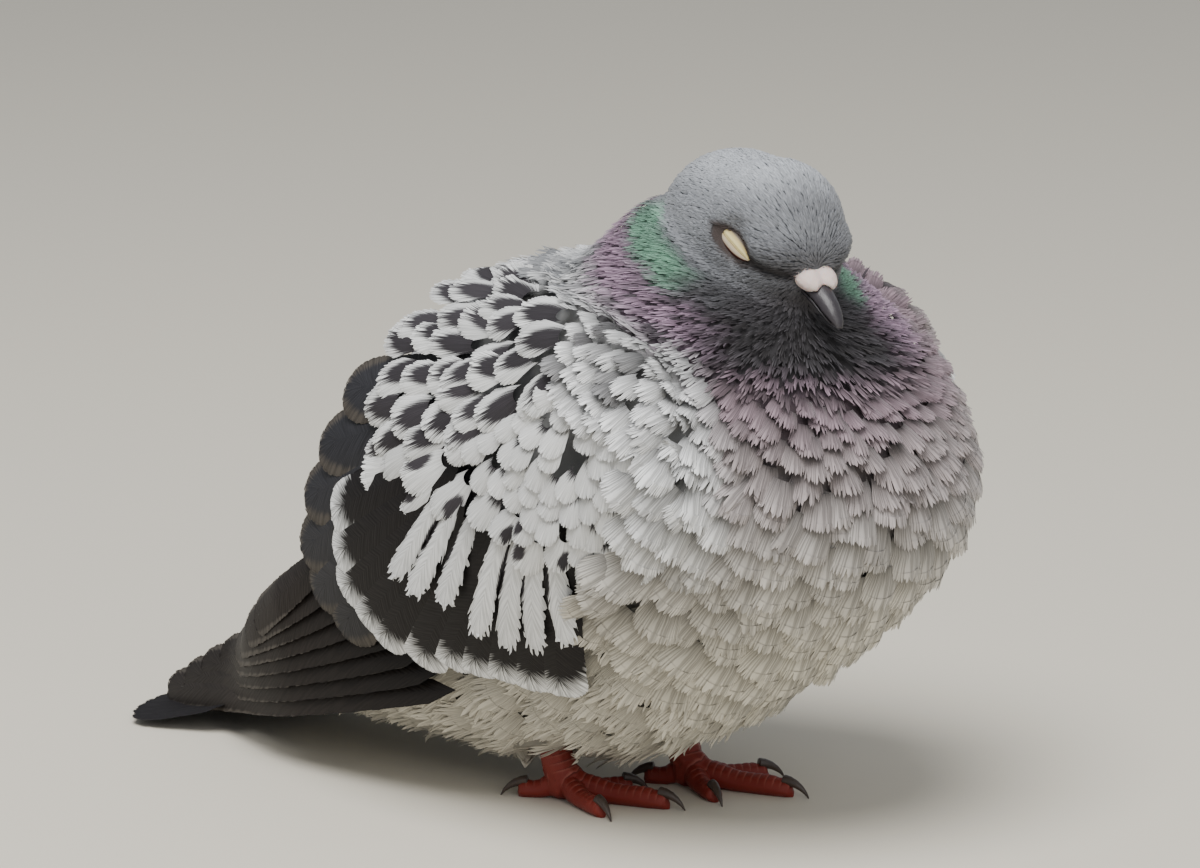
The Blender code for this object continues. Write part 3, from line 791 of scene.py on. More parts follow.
def scutes(points):
    """The feet's horny plates at each place: mm along the toe or tarsus, how much it faces up or ahead,
    whether it is on a foot, and how far the plates stand out there in metres."""
    spots = points / MM
    best = np.full(len(points), np.inf)
    along = np.zeros(len(points))
    top = np.zeros(len(points))
    for ankle, lean, toes in FEET.values():
        start = np.array((*ankle, ANKLE_HEIGHT))
        knee = np.array((ankle[0] + lean[0], ankle[1] + lean[1], TARSUS_TOP))
        axes = [(start, knee, np.array((0, -1.0, 0)))]
        for bearing, length in toes.values():
            end = np.array((*ankle, TOE_HEIGHT)) + toe_way(bearing) * length
            axes.append((start, end, np.array((0, 0, 1.0))))
        for first, last, face in axes:
            way = last - first
            share = np.clip((spots - first) @ way / (way @ way), 0, 1)
            away = spots - first - share[:, None] * way
            far = np.linalg.norm(away, axis=1)
            near = far < best
            best = np.where(near, far, best)
            along = np.where(near, share * np.linalg.norm(way), along)
            top = np.where(near, np.clip(away @ face / np.maximum(far, 0.1), 0, 1), top)
    on_foot = (best < FOOT_RADIUS) & (spots[:, 2] < FOOT_TOP)
    step = (along / SCUTE_LENGTH) % 1
    height = SCUTE_RISE * MM * top * np.sin(math.pi * step) ** 0.5
    return np.stack([along, top, on_foot, height * on_foot], 1)


def blunt_toes(points):
    """The feet's points with the toes' ends drawn back, so that the claws stand ahead of them."""
    spots = points / MM
    for ankle, _, toes in FEET.values():
        for bearing, length in toes.values():
            way = toe_way(bearing)
            away = spots - (*ankle, 0)
            along = away @ way
            across = np.linalg.norm(away[:, :2] - along[:, None] * way[:2], axis=1)
            at_end = (across < TOE_RADIUS) & (spots[:, 2] < TOE_TOP) & (along < length + 2)
            past = np.where(at_end, np.maximum(along - (length - TOE_END), 0), 0)
            spots = spots - way * (past * TOE_CUT)[:, None]
    return spots * MM


def unwrap(obj):
    """An unwrap of the surface's own shape, in the map named OFBake."""
    while obj.data.uv_layers:
        obj.data.uv_layers.remove(obj.data.uv_layers[0])
    obj.data.uv_layers.new(name="OFBake")
    bpy.ops.object.select_all(action="DESELECT")
    obj.select_set(True)
    bpy.context.view_layer.objects.active = obj
    bpy.ops.object.mode_set(mode="EDIT")
    bpy.ops.mesh.select_all(action="SELECT")
    bpy.ops.uv.smart_project(angle_limit=math.radians(66), island_margin=0.004)
    bpy.ops.object.mode_set(mode="OBJECT")


# ---- materials -----------------------------------------------------------------------------------

class Nodes:
    """A material's nodes. add() makes one with its settings and its links or values."""

    def __init__(self, name):
        self.material = bpy.data.materials.new(name)
        self.material.use_nodes = True
        self.tree = self.material.node_tree
        self.shader = self.tree.nodes["Principled BSDF"]

    def add(self, kind, inputs=(), **settings):
        node = self.tree.nodes.new(kind)
        for key, value in settings.items():
            setattr(node, key, value)
        for key, value in dict(inputs).items():
            self.feed(node.inputs[key], value)
        return node

    def feed(self, socket, value):
        if isinstance(value, bpy.types.Node):
            value = value.outputs[0]
        if isinstance(value, bpy.types.NodeSocket):
            self.tree.links.new(value, socket)
        else:
            socket.default_value = value

    def attribute(self, name, output="Fac"):
        return self.add("ShaderNodeAttribute", attribute_name=name).outputs[output]

    def math(self, operation, *values):
        return self.add("ShaderNodeMath", dict(enumerate(values)), operation=operation)

    def ramp(self, value, low=0.0, high=1.0, first=0.0, last=1.0):
        """first up to low and last from high on, with an even change between them."""
        return self.add("ShaderNodeMapRange", {0: value, 1: low, 2: high, 3: first, 4: last})

    def mix(self, share, first, second):
        return self.add("ShaderNodeMix", {0: share, 6: first, 7: second}, data_type="RGBA").outputs[2]

    def noise(self, per_mm, detail, roughness=0.5):
        """Lumpy noise with a number of lumps to the millimetre."""
        settings = {"Scale": per_mm / MM, "Detail": detail, "Roughness": roughness}
        return self.add("ShaderNodeTexNoise", settings).outputs["Fac"]

    def bump(self, height, strength, depth):
        """A normal that shows a relief, whose depth is in mm."""
        return self.add("ShaderNodeBump", {"Height": height, "Strength": strength, "Distance": depth * MM})

    def finish(self, **inputs):
        for key, value in inputs.items():
            self.feed(self.shader.inputs[key.replace("_", " ")], value)
        return self.material


def barb_noise(n, across, along):
    """(noise in streaks that follow a vane's barbs, the place on the vane)"""
    place = n.add("ShaderNodeSeparateXYZ", {0: n.attribute("vane", "Vector")})
    spot = n.add("ShaderNodeCombineXYZ", {
        "X": n.math("MULTIPLY", n.attribute("bearing"), across),
        "Y": n.math("MULTIPLY", place.outputs["Z"], along),
    })
    barbs = n.add("ShaderNodeTexNoise", {"Vector": spot, "Scale": 1.0, "Detail": 0.0}, noise_dimensions="2D")
    return barbs.outputs["Fac"], place


def shade_barbs(n, colour, barbs, lowest, highest, place, rooted, root_shade):
    """A vane's colour, darker between its barbs and towards its root."""
    both = n.math("MULTIPLY", n.ramp(barbs, 0.3, 0.7, lowest, highest), n.ramp(place, *rooted, root_shade))
    return n.add("ShaderNodeVectorMath", {0: colour, "Scale": both}, operation="SCALE")


def plume_finish(name, roughness=0.8, sheen=0.2, streaks=16, depth=0.4, root_shade=0.32, grooved=True):
    """Soft contour feather: matt keratin barbs that lie side by side, darker down towards the root, partly
    for the greyer down there and partly as painted shade in the gaps between the rows of plumes.

    The barbs are 0.1 mm apart on the bird and are drawn several times as coarse, so that they show.
    """
    n = Nodes(name)
    tint = n.attribute("tint", "Color")
    barbs, place = barb_noise(n, 1.6 * streaks, 1.8)
    colour = shade_barbs(n, tint, barbs, 1 - depth, 1.08, place.outputs["Z"], (0.35, 0.85), root_shade)
    if grooved:
        n.finish(Normal=n.bump(barbs, 0.5, 0.25))
    return n.finish(Base_Color=colour, Roughness=roughness, Sheen_Weight=sheen, Sheen_Roughness=0.5,
                    Specular_IOR_Level=0.2)


def skin_finish():
    """Skin: under the coat dull and tinted like the plumes but darker, as painted shade in the gaps between
    them, and on the feet horny plates with pale rims.

    The plates have lumps of about 1.1 mm, coarser than real ones, so that they show.
    """
    n = Nodes("plumed_skin_and_scaled_feet")
    tint = n.attribute("tint", "Color")
    along, top, foot = n.add("ShaderNodeSeparateXYZ", {0: n.attribute("scute", "Vector")}).outputs
    lumps = n.noise(0.9, 3.0)
    plates = n.math("DIVIDE", n.math("MULTIPLY_ADD", lumps, 0.5, along), SCUTE_LENGTH)
    step = n.math("FRACT", plates)
    shown = n.math("MULTIPLY", top, foot)
    rim = n.math("MULTIPLY", n.ramp(step, 0.72, 0.92, 0.0, 0.6), shown)
    groove = n.math("MULTIPLY", n.ramp(step, 0.0, 0.14, 1.0, 0.0), shown)
    rimmed = n.mix(rim, tint, rgba("#b0695d"))
    grooved = n.mix(n.math("MULTIPLY", groove, 0.7), rimmed, rgba("#2a0a08"))
    bump = n.bump(n.math("SUBTRACT", lumps, groove), 0.5, 0.25)
    gloss = n.ramp(foot, first=0.75, last=0.45)
    return n.finish(Base_Color=grooved, Roughness=gloss, Normal=bump, Specular_IOR_Level=0.35)


# ---- the coat of plumes --------------------------------------------------------------------------

def from_wing_poles(points):
    """Distance in mm from the nearer of the two places that the wings' feathers fan out from."""
    away = [np.linalg.norm(points - WING_POLE * (sign, 1, 1), axis=1) for sign in SIDES.values()]
    return np.min(away, axis=0) / MM


def fan_bearing(points):
    """Bearing from the wings' poles in the side view, in degrees below straight back."""
    return np.degrees(np.arctan2(WING_POLE[2] - points[:, 2], points[:, 1] - WING_POLE[1]))


UNDER_WING_LIFT = 0.3  # the share of their lift that plumes keep under a wing
FREE_OF_WING = (3 * MM, 14 * MM)  # where they begin to have more, and have all
HIDDEN_BEARINGS = (-12, 76)
HIDDEN_BORDER = ((20, 95), (45, 92), (60, 84), (78, 50))  # (bearing, reach)
HIDDEN_ASIDE = 18


def under_wing(points):
    """Whether a place lies behind a wing in the side view, where no plume of the body shows."""
    bearing = fan_bearing(points)
    reach = np.hypot(points[:, 1] - WING_POLE[1], points[:, 2] - WING_POLE[2])
    first, last = HIDDEN_BEARINGS
    hidden = (bearing > first) & (bearing < last) & (reach < read(HIDDEN_BORDER, bearing) * MM)
    return hidden & (np.abs(points[:, 0]) > HIDDEN_ASIDE * MM)


def is_bare(points):
    """Whether a place is on the lids or in the crease between eye and bill, which stay free of plumes."""
    return (on_lids(points) < LID_CLEARANCE) | (from_lore(points) < CREASE_WIDTH)


def clear_of_lids(roots, lengths, bed):
    """Shortens the plumes that would lie over an eye's lids. (which to keep, their lengths)"""
    place, normal, _ = bed.nearest(roots)
    ahead = along_surface(lay(place), normal)
    lengths = lengths.copy()
    for share in (0.85, 0.8, 0.75):
        lengths[is_bare(place + ahead * lengths[:, None])] *= share
    covers = is_bare(place + ahead * lengths[:, None]) | is_bare(roots)
    return ~covers, lengths


def clear_of_wings(roots, lengths, bed, owners):
    """Shortens the plumes that would reach far over a wing. (which to keep, their lengths)"""
    lengths = lengths.copy()
    for _ in range(3):
        place, normal, _ = bed.nearest(roots)
        for _ in range(2):
            ahead = along_surface(lay(place), normal)
            place, normal, _ = bed.nearest(place + ahead * (lengths / 2)[:, None])
        over = owners.is_one_of(place, WING_PLATES) & (from_wing_poles(place) > SHOULDER_REACH)
        over &= fan_bearing(place) < FRONT_RIM_BEARING
        lengths[over] *= 0.85
    return ~over | (from_wing_poles(roots) < SHOULDER_REACH), lengths


def plume_coat(name, slot, bed, skin, owners, nodes, cut, seed, allowed, finish, size=1.0, under_wings=False,
               **growth):
    """A coat of plumes over the parts of the bed that belong to the given nodes."""
    rng = np.random.default_rng(seed)

    def keep(points, _):
        return owners.is_one_of(points, nodes) & allowed(points)

    roots = bed.scatter(lambda points: by_reach(SPACINGS, points) * size, keep, rng)
    kept, lengths = clear_of_lids(roots, by_reach(LENGTHS, roots) * size, bed)
    roots, lengths = roots[kept], lengths[kept]
    if not under_wings:
        kept, lengths = clear_of_wings(roots, lengths, bed, owners)
        roots, lengths = roots[kept], lengths[kept]
    spread = rng.uniform(0.88, 1.12, len(roots))
    half_widths = by_reach(HALF_WIDTHS, roots) * spread * size
    lifts = by_reach(LIFTS, roots) * rng.uniform(0.8, 1.15, len(roots))
    if under_wings:
        tips = roots + lay(roots) * lengths[:, None]
        free = ramp(distance_to(WING_PLATES, tips), *FREE_OF_WING)
        lifts *= UNDER_WING_LIFT + (1 - UNDER_WING_LIFT) * free
    feathers = grow(bed, roots, lengths * spread, half_widths, lifts, rng, **growth)
    colours = markings_and_painted_light(feathers.points[:, -2]) * rng.normal(1, 0.07, (len(roots), 1)).clip(0.8, 1.2)
    dress(vanes(name, feathers, cut, rng, colours, skin, roots), finish, slot)


def build_plumes(bed, body_bed, skin, owners):
    """The coat of plumes, from the velvet of the face to the loose down of the belly."""
    # A lower root_shade darkens the plumes more towards their roots: partly the greyer down, partly painted
    # shade in the gaps between rows.
    short = plume_finish("head_plumes", streaks=2, depth=0.2, root_shade=0.9, grooved=False)
    sleek = plume_finish("neck_hackles", roughness=0.5, sheen=0.1, streaks=7, root_shade=0.22, grooved=False)
    soft = plume_finish("contour_plumes", root_shade=0.25)
    loose = plume_finish("loose_belly_plumes", roughness=0.9, streaks=22, depth=0.25, root_shade=0.5)

    def on_face(points):
        return (from_lore(points) < FACE_ROUND_CREASE) | (on_lids(points) < FACE_ROUND_LIDS)

    def off_face(points):
        return ~on_face(points)

    def breast(low, high):
        """Whether places are on the breast or a shoulder, between two distances from the head."""
        def inside(points):
            reach = from_head_mm(points)
            here = owners.is_one_of(points, ("neck", "breast")) | (from_wing_poles(points) < SHOULDER_REACH)
            return (reach >= low) & (reach < high) & here
        return inside

    def uncovered(points):
        return (distance_to(WING_PLATES, points) > 3 * MM) & ~under_wing(points)

    velvet = Cut(2, 1, 2, 0.5, cap=0.5, blunt=1.1, splay=0.3, curl=0.008, flare=0.7, start=0.2)
    hackles = Cut(3, 1, 7, 0.6, cap=0.45, blunt=1.1, ragged=0.1, curl=0.02, gape=0.8, flare=0.8)
    scales = Cut(7, 2, 20, 0.24, cap=0.68, blunt=0.8, ragged=0.07, splay=0.4, curl=0.015, gape=0.95,
                 flare=0.6)
    lobes = Cut(8, 2, 32, 0.17, cap=0.72, ragged=0.05, splay=0.3, curl=0.012, gape=0.95, flare=0.5)
    fluff = Cut(8, 2, 26, 0.3, cap=0.68, blunt=0.8, ragged=0.08, splay=0.8, flare=0.6)
    head = ("head",) + EYES
    front = ("neck", "breast")
    wide = front + WING_PLATES
    coats = (  # (name, slot, the nodes it covers, cut, seed, where on them, finish, how it grows)
        ("head_plumes", "head", head, velvet, 11, off_face, short, {"steps": 3, "stray": 0.1}),
        ("face_plumes", "head", head, velvet, 16, on_face, short, {"size": 0.6, "steps": 3, "stray": 0.2}),
        ("neck_hackles", "neck", front, hackles, 12, breast(0, 46), sleek, {"steps": 4}),
        ("upper_breast_plumes", "breast", wide, scales, 13, breast(46, 64), soft, {"camber": 0.5}),
        ("lower_breast_plumes", "breast", wide, lobes, 15, breast(64, math.inf), soft, {"camber": 0.5}),
        ("body_plumes", "belly", ("trunk", "rump"), fluff, 14, uncovered, loose,
         {"under_wings": True, "camber": 0.45}),
    )
    for name, slot, nodes, cut, seed, where, finish, growth in coats:
        coat_bed = body_bed if slot == "belly" else bed
        plume_coat(name, f"{slot}_plumage", coat_bed, skin, owners, nodes, cut, seed, where, finish, **growth)


# ---- the wings -----------------------------------------------------------------------------------

def vane_finish(name, roughness=0.6, streaks=26, depth=0.25, ragged_marks=0.7):
    """Firm vane of a wing or tail feather: barbs hooked into a smooth sheet, with a satin gloss and marks.

    The barbs are drawn several times as coarse as a bird's, so that they show.
    """
    n = Nodes(name)
    tint = n.attribute("tint", "Color")
    barbs, place = barb_noise(n, 1.5 * streaks, 1.5)
    ragged = n.math("MULTIPLY_ADD", barbs, ragged_marks, n.attribute("from_mark"))
    rim = 1 + ragged_marks / 2
    soft = 0.03 + 0.15 * ragged_marks
    marked = n.ramp(ragged, rim - soft, rim + soft, 1.0, 0.0)
    colour = n.mix(marked, tint, n.attribute("dark", "Color"))
    shaded = shade_barbs(n, colour, barbs, 1 - depth, 1.06, place.outputs["Y"], (0.1, 0.5), 0.55)
    bump = n.bump(barbs, 0.35, 0.2)
    return n.finish(Base_Color=shaded, Roughness=roughness, Normal=bump, Specular_IOR_Level=0.18)


WING_WHITE = linear("#dfe0e0")
WING_DARK = linear("#39363a")
FLIGHT_BLACK = linear("#181516")
FLIGHT_BROWN = linear("#241f1d")
FLIGHT_EDGE = linear("#4b4641")
TERTIAL_SLATE = linear("#2c2c30")
WING_POLE = np.array((48, -70, 120)) * MM  # where the left wing's feathers fan out from
FAN_START = 12.0  # how near to that the coverts begin, in mm
FACES_BACK = 0.75  # no covert grows where the wing's rim faces back more than this
SHOULDER_REACH = 16.0  # how far from it the breast's plumes cover the wing
FRONT_RIM_BEARING = 74.0  # from where on the breast's plumes may lie over the wing's rim
COVERT_BORDER = (  # (bearing, reach) of the coverts' tips
    (-30, 62), (0, 80), (7, 86), (20, 91), (28, 91), (36, 76), (45, 66), (55, 59), (72, 62), (80, 61),
    (91, 54), (103, 42), (115, 34),
)


class WingSheet:
    """A smooth sheet through the outside of a wing's plates: how far out it lies over (y, z)."""

    POWERS = tuple((a, b) for a in range(3) for b in range(3 - a))
    SCALE = 50 * MM
    STEP = 3 * MM

    def __init__(self, side, depth):
        self.sign = SIDES[side]
        plates = plates_of(side)
        tree = Nearby(plates).tree
        low, high = (np.array([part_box(plate)[end] for plate in plates]) for end in (0, 1))
        found = []
        for y in np.arange(low[:, 1].min(), high[:, 1].max(), self.STEP):
            for z in np.arange(low[:, 2].min(), high[:, 2].max(), self.STEP):
                hit = tree.ray_cast(Vector((self.sign, y, z)), Vector((-self.sign, 0, 0)))[0]
                if hit:
                    found.append((y, z, abs(hit.x)))
        y, z, x = np.array(found).T
        self.weights = np.linalg.lstsq(self.terms(y, z, self.POWERS), x - depth, rcond=None)[0]

    def terms(self, y, z, powers):
        y, z = y / self.SCALE, z / self.SCALE
        return np.stack([y**max(a, 0) * z**max(b, 0) for a, b in powers], -1)

    def lines(self, flat):
        """(points, normals) of rows of (y, z)."""
        y, z = flat[..., 0], flat[..., 1]
        x = self.terms(y, z, self.POWERS) @ self.weights
        a, b = np.array(self.POWERS).T
        slope_y = self.terms(y, z, list(zip(a - 1, b))) @ (self.weights * a) / self.SCALE
        slope_z = self.terms(y, z, list(zip(a, b - 1))) @ (self.weights * b) / self.SCALE
        points = np.stack([x * self.sign, y, z], -1)
        return points, unit(np.stack([np.full_like(x, self.sign), -slope_y, -slope_z], -1))


class Fan:
    """Places of a wing by their bearing below straight back, in degrees, and their reach from its pole."""

    def __init__(self, side):
        self.sign = SIDES[side]
        self.pole = WING_POLE * (self.sign, 1, 1)
        self.sheet = WingSheet(side, WING_COAT)

    def bearing(self, points):
        _, y, z = (points - self.pole).T
        return np.degrees(np.arctan2(-z, y))

    def reach(self, points):
        return np.linalg.norm(points - self.pole, axis=1) / MM

    def heading(self, points):
        return unit(points - self.pole)

    def spot(self, bearing, reach):
        """(y, z) at a bearing and a reach in mm in the side view."""
        angle = math.radians(bearing)
        return self.pole[1:] + np.array((math.cos(angle), -math.sin(angle))) * reach * MM

    def feathers(self, roots, ends, half_width, lifts, camber, steps=14, rise=1.2):
        """Feathers that lie on the wing's sheet. roots and ends hold their bearings and their reaches."""
        shares = np.linspace(0, 1, steps + 1)
        lines = [self.spot(*root) + (self.spot(*end) - self.spot(*root)) * shares[:, None]
                 for root, end in zip(zip(*roots), zip(*ends))]
        points, normals = self.sheet.lines(np.array(lines))
        heights = lifts[:, None] * shares ** rise * MM
        return alike(points + normals * heights[..., None], normals, half_width, camber)


COVERTS = {  # in mm: of the small ones, and how much more the large ones have
    "gap": (3.9, 1.9), "length": (12, 9), "half_width": (3.4, 1.9), "lift": (2.8, 0.6), "hidden": (9, 9),
}
COVERT_MARKS = ((0.5, 0.6, 0.4), (0.7, 0.4, 0.2), (0.1, 0.8, 0.42))  # place along, half width, half length
LOWEST_ROW, SCAPULARS, SMALL = 1, 0, 2  # whose marks these are


def build_coverts(side, bed, skin, owners, seed, finish):
    """The small feathers of a wing: scallops with dark marks, growing larger down the wing."""
    fan = Fan(side)
    rng = np.random.default_rng(seed)

    def coarse(points):
        """0 for the small coverts in the middle of the wing, 1 for scapulars and for the lowest row."""
        top = 1 - ramp(fan.bearing(points), 18, 34)
        return np.maximum(top, ramp(fan.reach(points), 38, 52))

    def size(kind, points):
        small, more = COVERTS[kind]
        return (small + more * coarse(points)) * MM

    def keep(points, normals):
        border = read(COVERT_BORDER, fan.bearing(points)) * MM - size("hidden", points)
        reach = fan.reach(points)
        inside = (reach > FAN_START) & (reach * MM < border)
        return owners.is_one_of(points, plates_of(side)) & inside & (normals[:, 1] < FACES_BACK)

    roots = bed.scatter(lambda points: size("gap", points), keep, rng)
    count = len(roots)
    lengths = size("length", roots) * rng.uniform(0.9, 1.1, count)
    half_widths = size("half_width", roots) * rng.uniform(0.9, 1.1, count)
    lifts = size("lift", roots) * rng.uniform(0.85, 1.1, count)
    feathers = grow(bed, roots, lengths, half_widths, lifts, rng, heading=fan.heading, stray=0.1, camber=0.3)
    top = 1 - ramp(fan.bearing(roots), 20, 32)
    low = ramp(fan.reach(roots), 38, 48) * (1 - top)
    chance = rng.random(count)
    marking = np.where(top > chance, SCAPULARS, np.where(low > chance, LOWEST_ROW, SMALL))
    off_shaft = np.where(low > chance, 0.5, 0.15) * rng.choice((-1, 1), count)
    darks = WING_DARK * rng.uniform(0.8, 1.15, (count, 1))
    whites = WING_WHITE * rng.uniform(0.85, 1.05, (count, 1))
    cut = Cut(10, 3, 30, 0.09, cap=0.68, blunt=0.75, ragged=0.06, splay=0.3, curl=0.006)
    coat = vanes(f"wing_{side}_coverts_coat", feathers, cut, rng, whites, skin, roots,
                 (darks, off_shaft, *np.array(COVERT_MARKS)[marking].T))
    dress(coat, finish, "wing_coverts", f"wing_{side}_coverts")


SECONDARIES = 11
SECONDARY_BEARINGS = (29, 71)
SECONDARY_ENDS = ((24, 101), (27, 104), (38, 113), (48, 109), (58, 96), (68, 92), (74, 88))  # in the fan
SECONDARY_LENGTH = 55
SECONDARY_LIFTS = (2.2, 1.4)  # of the first and the last, in mm


def build_secondaries(side, skin, seed, finish):
    """The black flight feathers with ragged white tips that show under the coverts."""
    rng = np.random.default_rng(seed)
    bearings = np.linspace(*SECONDARY_BEARINGS, SECONDARIES) + rng.normal(0, 0.6, SECONDARIES)
    reaches = read(SECONDARY_ENDS, bearings) * rng.uniform(0.99, 1.01, SECONDARIES)
    feathers = Fan(side).feathers((bearings, reaches - SECONDARY_LENGTH), (bearings, reaches), 7.0,
                                  np.linspace(*SECONDARY_LIFTS, SECONDARIES), 0.16)
    cut = Blade(44, 4, 84, 0.05, cap=0.9, blunt=0.7, ragged=0.16, splay=0.15, gape=1.05, slant=0.1)
    coat = vanes(f"wing_{side}_secondaries_vanes", feathers, cut, rng, WING_WHITE, skin,
                 marks=(FLIGHT_BLACK, 0, 0, 2.4, 0.945))
    dress(coat, finish, "flight_quills", f"wing_{side}_secondaries")


PRIMARIES = 8
PRIMARY_ROOTS = ((10, 33), (22, 42), (36, 52), (52, 62))  # (y, z) in the side view, in mm, from the lowest up
PRIMARY_TIPS = ((142, 5), (134, 9.5), (126, 14), (117.5, 18.5), (109, 23), (101, 27.5), (94, 32), (88, 36))
PRIMARY_SPREAD = (  # (y, x)
    (10, 45), (32, 42), (55, 39), (78, 35), (90, 30.3), (98, 26), (106, 22.3), (125, 15), (142, 8),
)
PRIMARY_GAP = 0.55  # between one and the next
PRIMARY_CLEARANCE = 0.3  # of the lowest
PRIMARY_SHIFT = -28.0  # of all the y above, and of the tail's
PRIMARY_LEAN = 0.5
PRIMARY_LEAN_START = ((97, 0), (112, 1))
PRIMARY_FOOT_LINE = ((98, 13), (142, 5))


def along_list(rows, share):
    """A place between the first and the last row of a table."""
    at = np.arange(len(rows))
    return np.array([np.interp(share * (len(rows) - 1), at, column) for column in np.array(rows, float).T])


def build_primaries(side, skin, seed, finish):
    """The long flight feathers, stacked from the lowest and longest up."""
    sign = SIDES[side]
    rng = np.random.default_rng(seed)
    lines = []
    for number in range(PRIMARIES):
        root, tip = (along_list(rows, number / (PRIMARIES - 1)) for rows in (PRIMARY_ROOTS, PRIMARY_TIPS))
        y, z = (root + (tip - root) * np.linspace(0, 1, 21)[:, None]).T
        above = np.maximum(0, z - read(PRIMARY_FOOT_LINE, y))
        x = read(PRIMARY_SPREAD, y) - PRIMARY_LEAN * above * read(PRIMARY_LEAN_START, y)
        x += PRIMARY_CLEARANCE + PRIMARY_GAP * number
        lines.append(np.stack([x * sign, y + PRIMARY_SHIFT, z], -1) * MM)
    points = np.array(lines)
    feathers = alike(points, np.broadcast_to(unit(np.array((sign, 0.25, 0.35))), points.shape), 5.6, 0.18)
    browns = FLIGHT_BROWN * rng.uniform(0.85, 1.1, (PRIMARIES, 1))
    cut = Blade(50, 4, 90, 0.06, cap=0.93, blunt=0.9, ragged=0.1, splay=0.4, slant=0.07, end_share=0.2)
    coat = vanes(f"wing_{side}_primaries_vanes", feathers, cut, rng, FLIGHT_EDGE, skin,
                 marks=(browns, 0, 0.2, 0.99, 1.05))
    dress(coat, finish, "flight_quills", f"wing_{side}_primaries")


TERTIALS = (  # (bearing and reach of the tip, how far it stands off), from the lowest up
    (40, 124, 0.9), (35, 126, 1.3), (30, 124, 1.9), (25, 117, 2.9), (20, 108, 3.9), (14, 98, 4.9),
)
TERTIAL_LENGTH = 58
TERTIAL_TURN = 2  # degrees by which a root lies above its tip's bearing
STRIPS = (  # (bearing and reach of the root, the same of the tip) of the coverts that hang below the others
    (33, 56, 42, 90), (38, 56, 46, 88), (43, 54, 51, 82), (50, 42, 58, 83), (54, 41, 63, 82),
    (58, 40, 68, 78), (63, 38, 74, 72),
)


def build_tertials(side, skin, seed, finish):
    """The innermost flight feathers: dark slate with rounded ends, one over the other behind the coverts."""
    rng = np.random.default_rng(seed)
    bearings, reaches, lifts = np.array(TERTIALS).T
    roots = (bearings - TERTIAL_TURN, reaches - TERTIAL_LENGTH)
    feathers = Fan(side).feathers(roots, (bearings, reaches), 9.0, lifts, 0.22, rise=2.5)
    slates = TERTIAL_SLATE * rng.uniform(0.85, 1.1, (len(TERTIALS), 1))
    cut = Blade(44, 4, 84, 0.05, cap=0.84, blunt=0.8, ragged=0.1, splay=0.4)
    coat = vanes(f"wing_{side}_tertials", feathers, cut, rng, FLIGHT_EDGE, skin,
                 marks=(slates, 0, 0.4, 1.12, 0.605))
    dress(coat, finish, "flight_quills")


def build_strips(side, skin, seed, finish):
    """Long loose white coverts with ragged ends, which hang over the black secondaries."""
    rng = np.random.default_rng(seed)
    count = len(STRIPS)
    ends = np.array(STRIPS).T
    lifts = rng.uniform(3.8, 5.0, count)
    feathers = Fan(side).feathers(ends[:2], ends[2:], 3.5, lifts, 0.35, steps=10, rise=1.8)
    whites = WING_WHITE * rng.uniform(0.85, 1.0, (count, 1))
    off_shaft = 0.9 * rng.choice((-1, 1), count)
    cut = Blade(24, 3, 40, 0.3, cap=0.86, blunt=0.8, ragged=0.15, splay=0.9, curl=0.008, slant=0.2)
    coat = vanes(f"wing_{side}_hanging_coverts", feathers, cut, rng, whites, skin,
                 marks=(WING_DARK * 0.6, off_shaft, 0.5, 0.35, 0.2))
    dress(coat, finish, "wing_coverts")


def build_wings(bed, skin, owners):
    soft = vane_finish("wing_covert_vanes", roughness=0.65)
    stiff = vane_finish("flight_feather_vanes", roughness=0.5, streaks=60, depth=0.3, ragged_marks=0.1)
    for number, side in enumerate(SIDES):
        build_coverts(side, bed, skin, owners, 31 + number, soft)
        build_secondaries(side, skin, 41 + number, stiff)
        build_primaries(side, skin, 51 + number, stiff)
        build_tertials(side, skin, 61 + number, stiff)
        build_strips(side, skin, 71 + number, soft)


# ---- the tail ------------------------------------------------------------------------------------

TAIL_FEATHERS = 12
TAIL_LINE = ((101, 12), (109.2, 9.6), (118, 5.6), (130, 2.6), (146, 1.2))  # (y, z) of its middle, in mm
TAIL_HALF_WIDTHS = (12, 26)  # at its root and at its tip, of the outermost shafts, in mm
TAIL_ROUNDING = 0.12  # how much shorter its outermost feathers are
TAIL_ARCH = 1.6  # how much higher its middle lies, in mm
TAIL_BLACK = linear("#1d1b1d")
TAIL_EDGE = linear("#2b292a")


def build_tail(skin):
    """Twelve feathers in a slightly spread fan that lies on the floor, the middle pair on top."""
    rng = np.random.default_rng(81)
    lines = []
    for across in np.linspace(-1, 1, TAIL_FEATHERS):
        shares = np.linspace(0, 1, 17) * (1 - TAIL_ROUNDING * abs(across) ** 2.6)
        y, z = np.array([along_list(TAIL_LINE, share) for share in shares]).T
        x = across * np.interp(shares, (0, 1), TAIL_HALF_WIDTHS)
        height = z + TAIL_ARCH * (1 - abs(across)) * (1 - 0.5 * shares)
        lines.append(np.stack([x, y + PRIMARY_SHIFT, height], -1) * MM)
    points = np.array(lines)
    feathers = alike(points, np.broadcast_to(np.array((0, 0.1, 0.99)), points.shape), 5.6, 0.1)
    cut = Blade(40, 3, 70, 0.06, cap=0.88, blunt=0.8, splay=0.4, end_share=0.25)
    coat = vanes("tail_vanes", feathers, cut, rng, TAIL_EDGE, skin, marks=(TAIL_BLACK, 0, 0.4, 1.2, 0.7))
    finish = vane_finish("tail_vanes", roughness=0.75, streaks=60, ragged_marks=0.1)
    dress(coat, finish, "tail_quills", "tail")


# ---- eyelids, bill and claws ---------------------------------------------------------------------

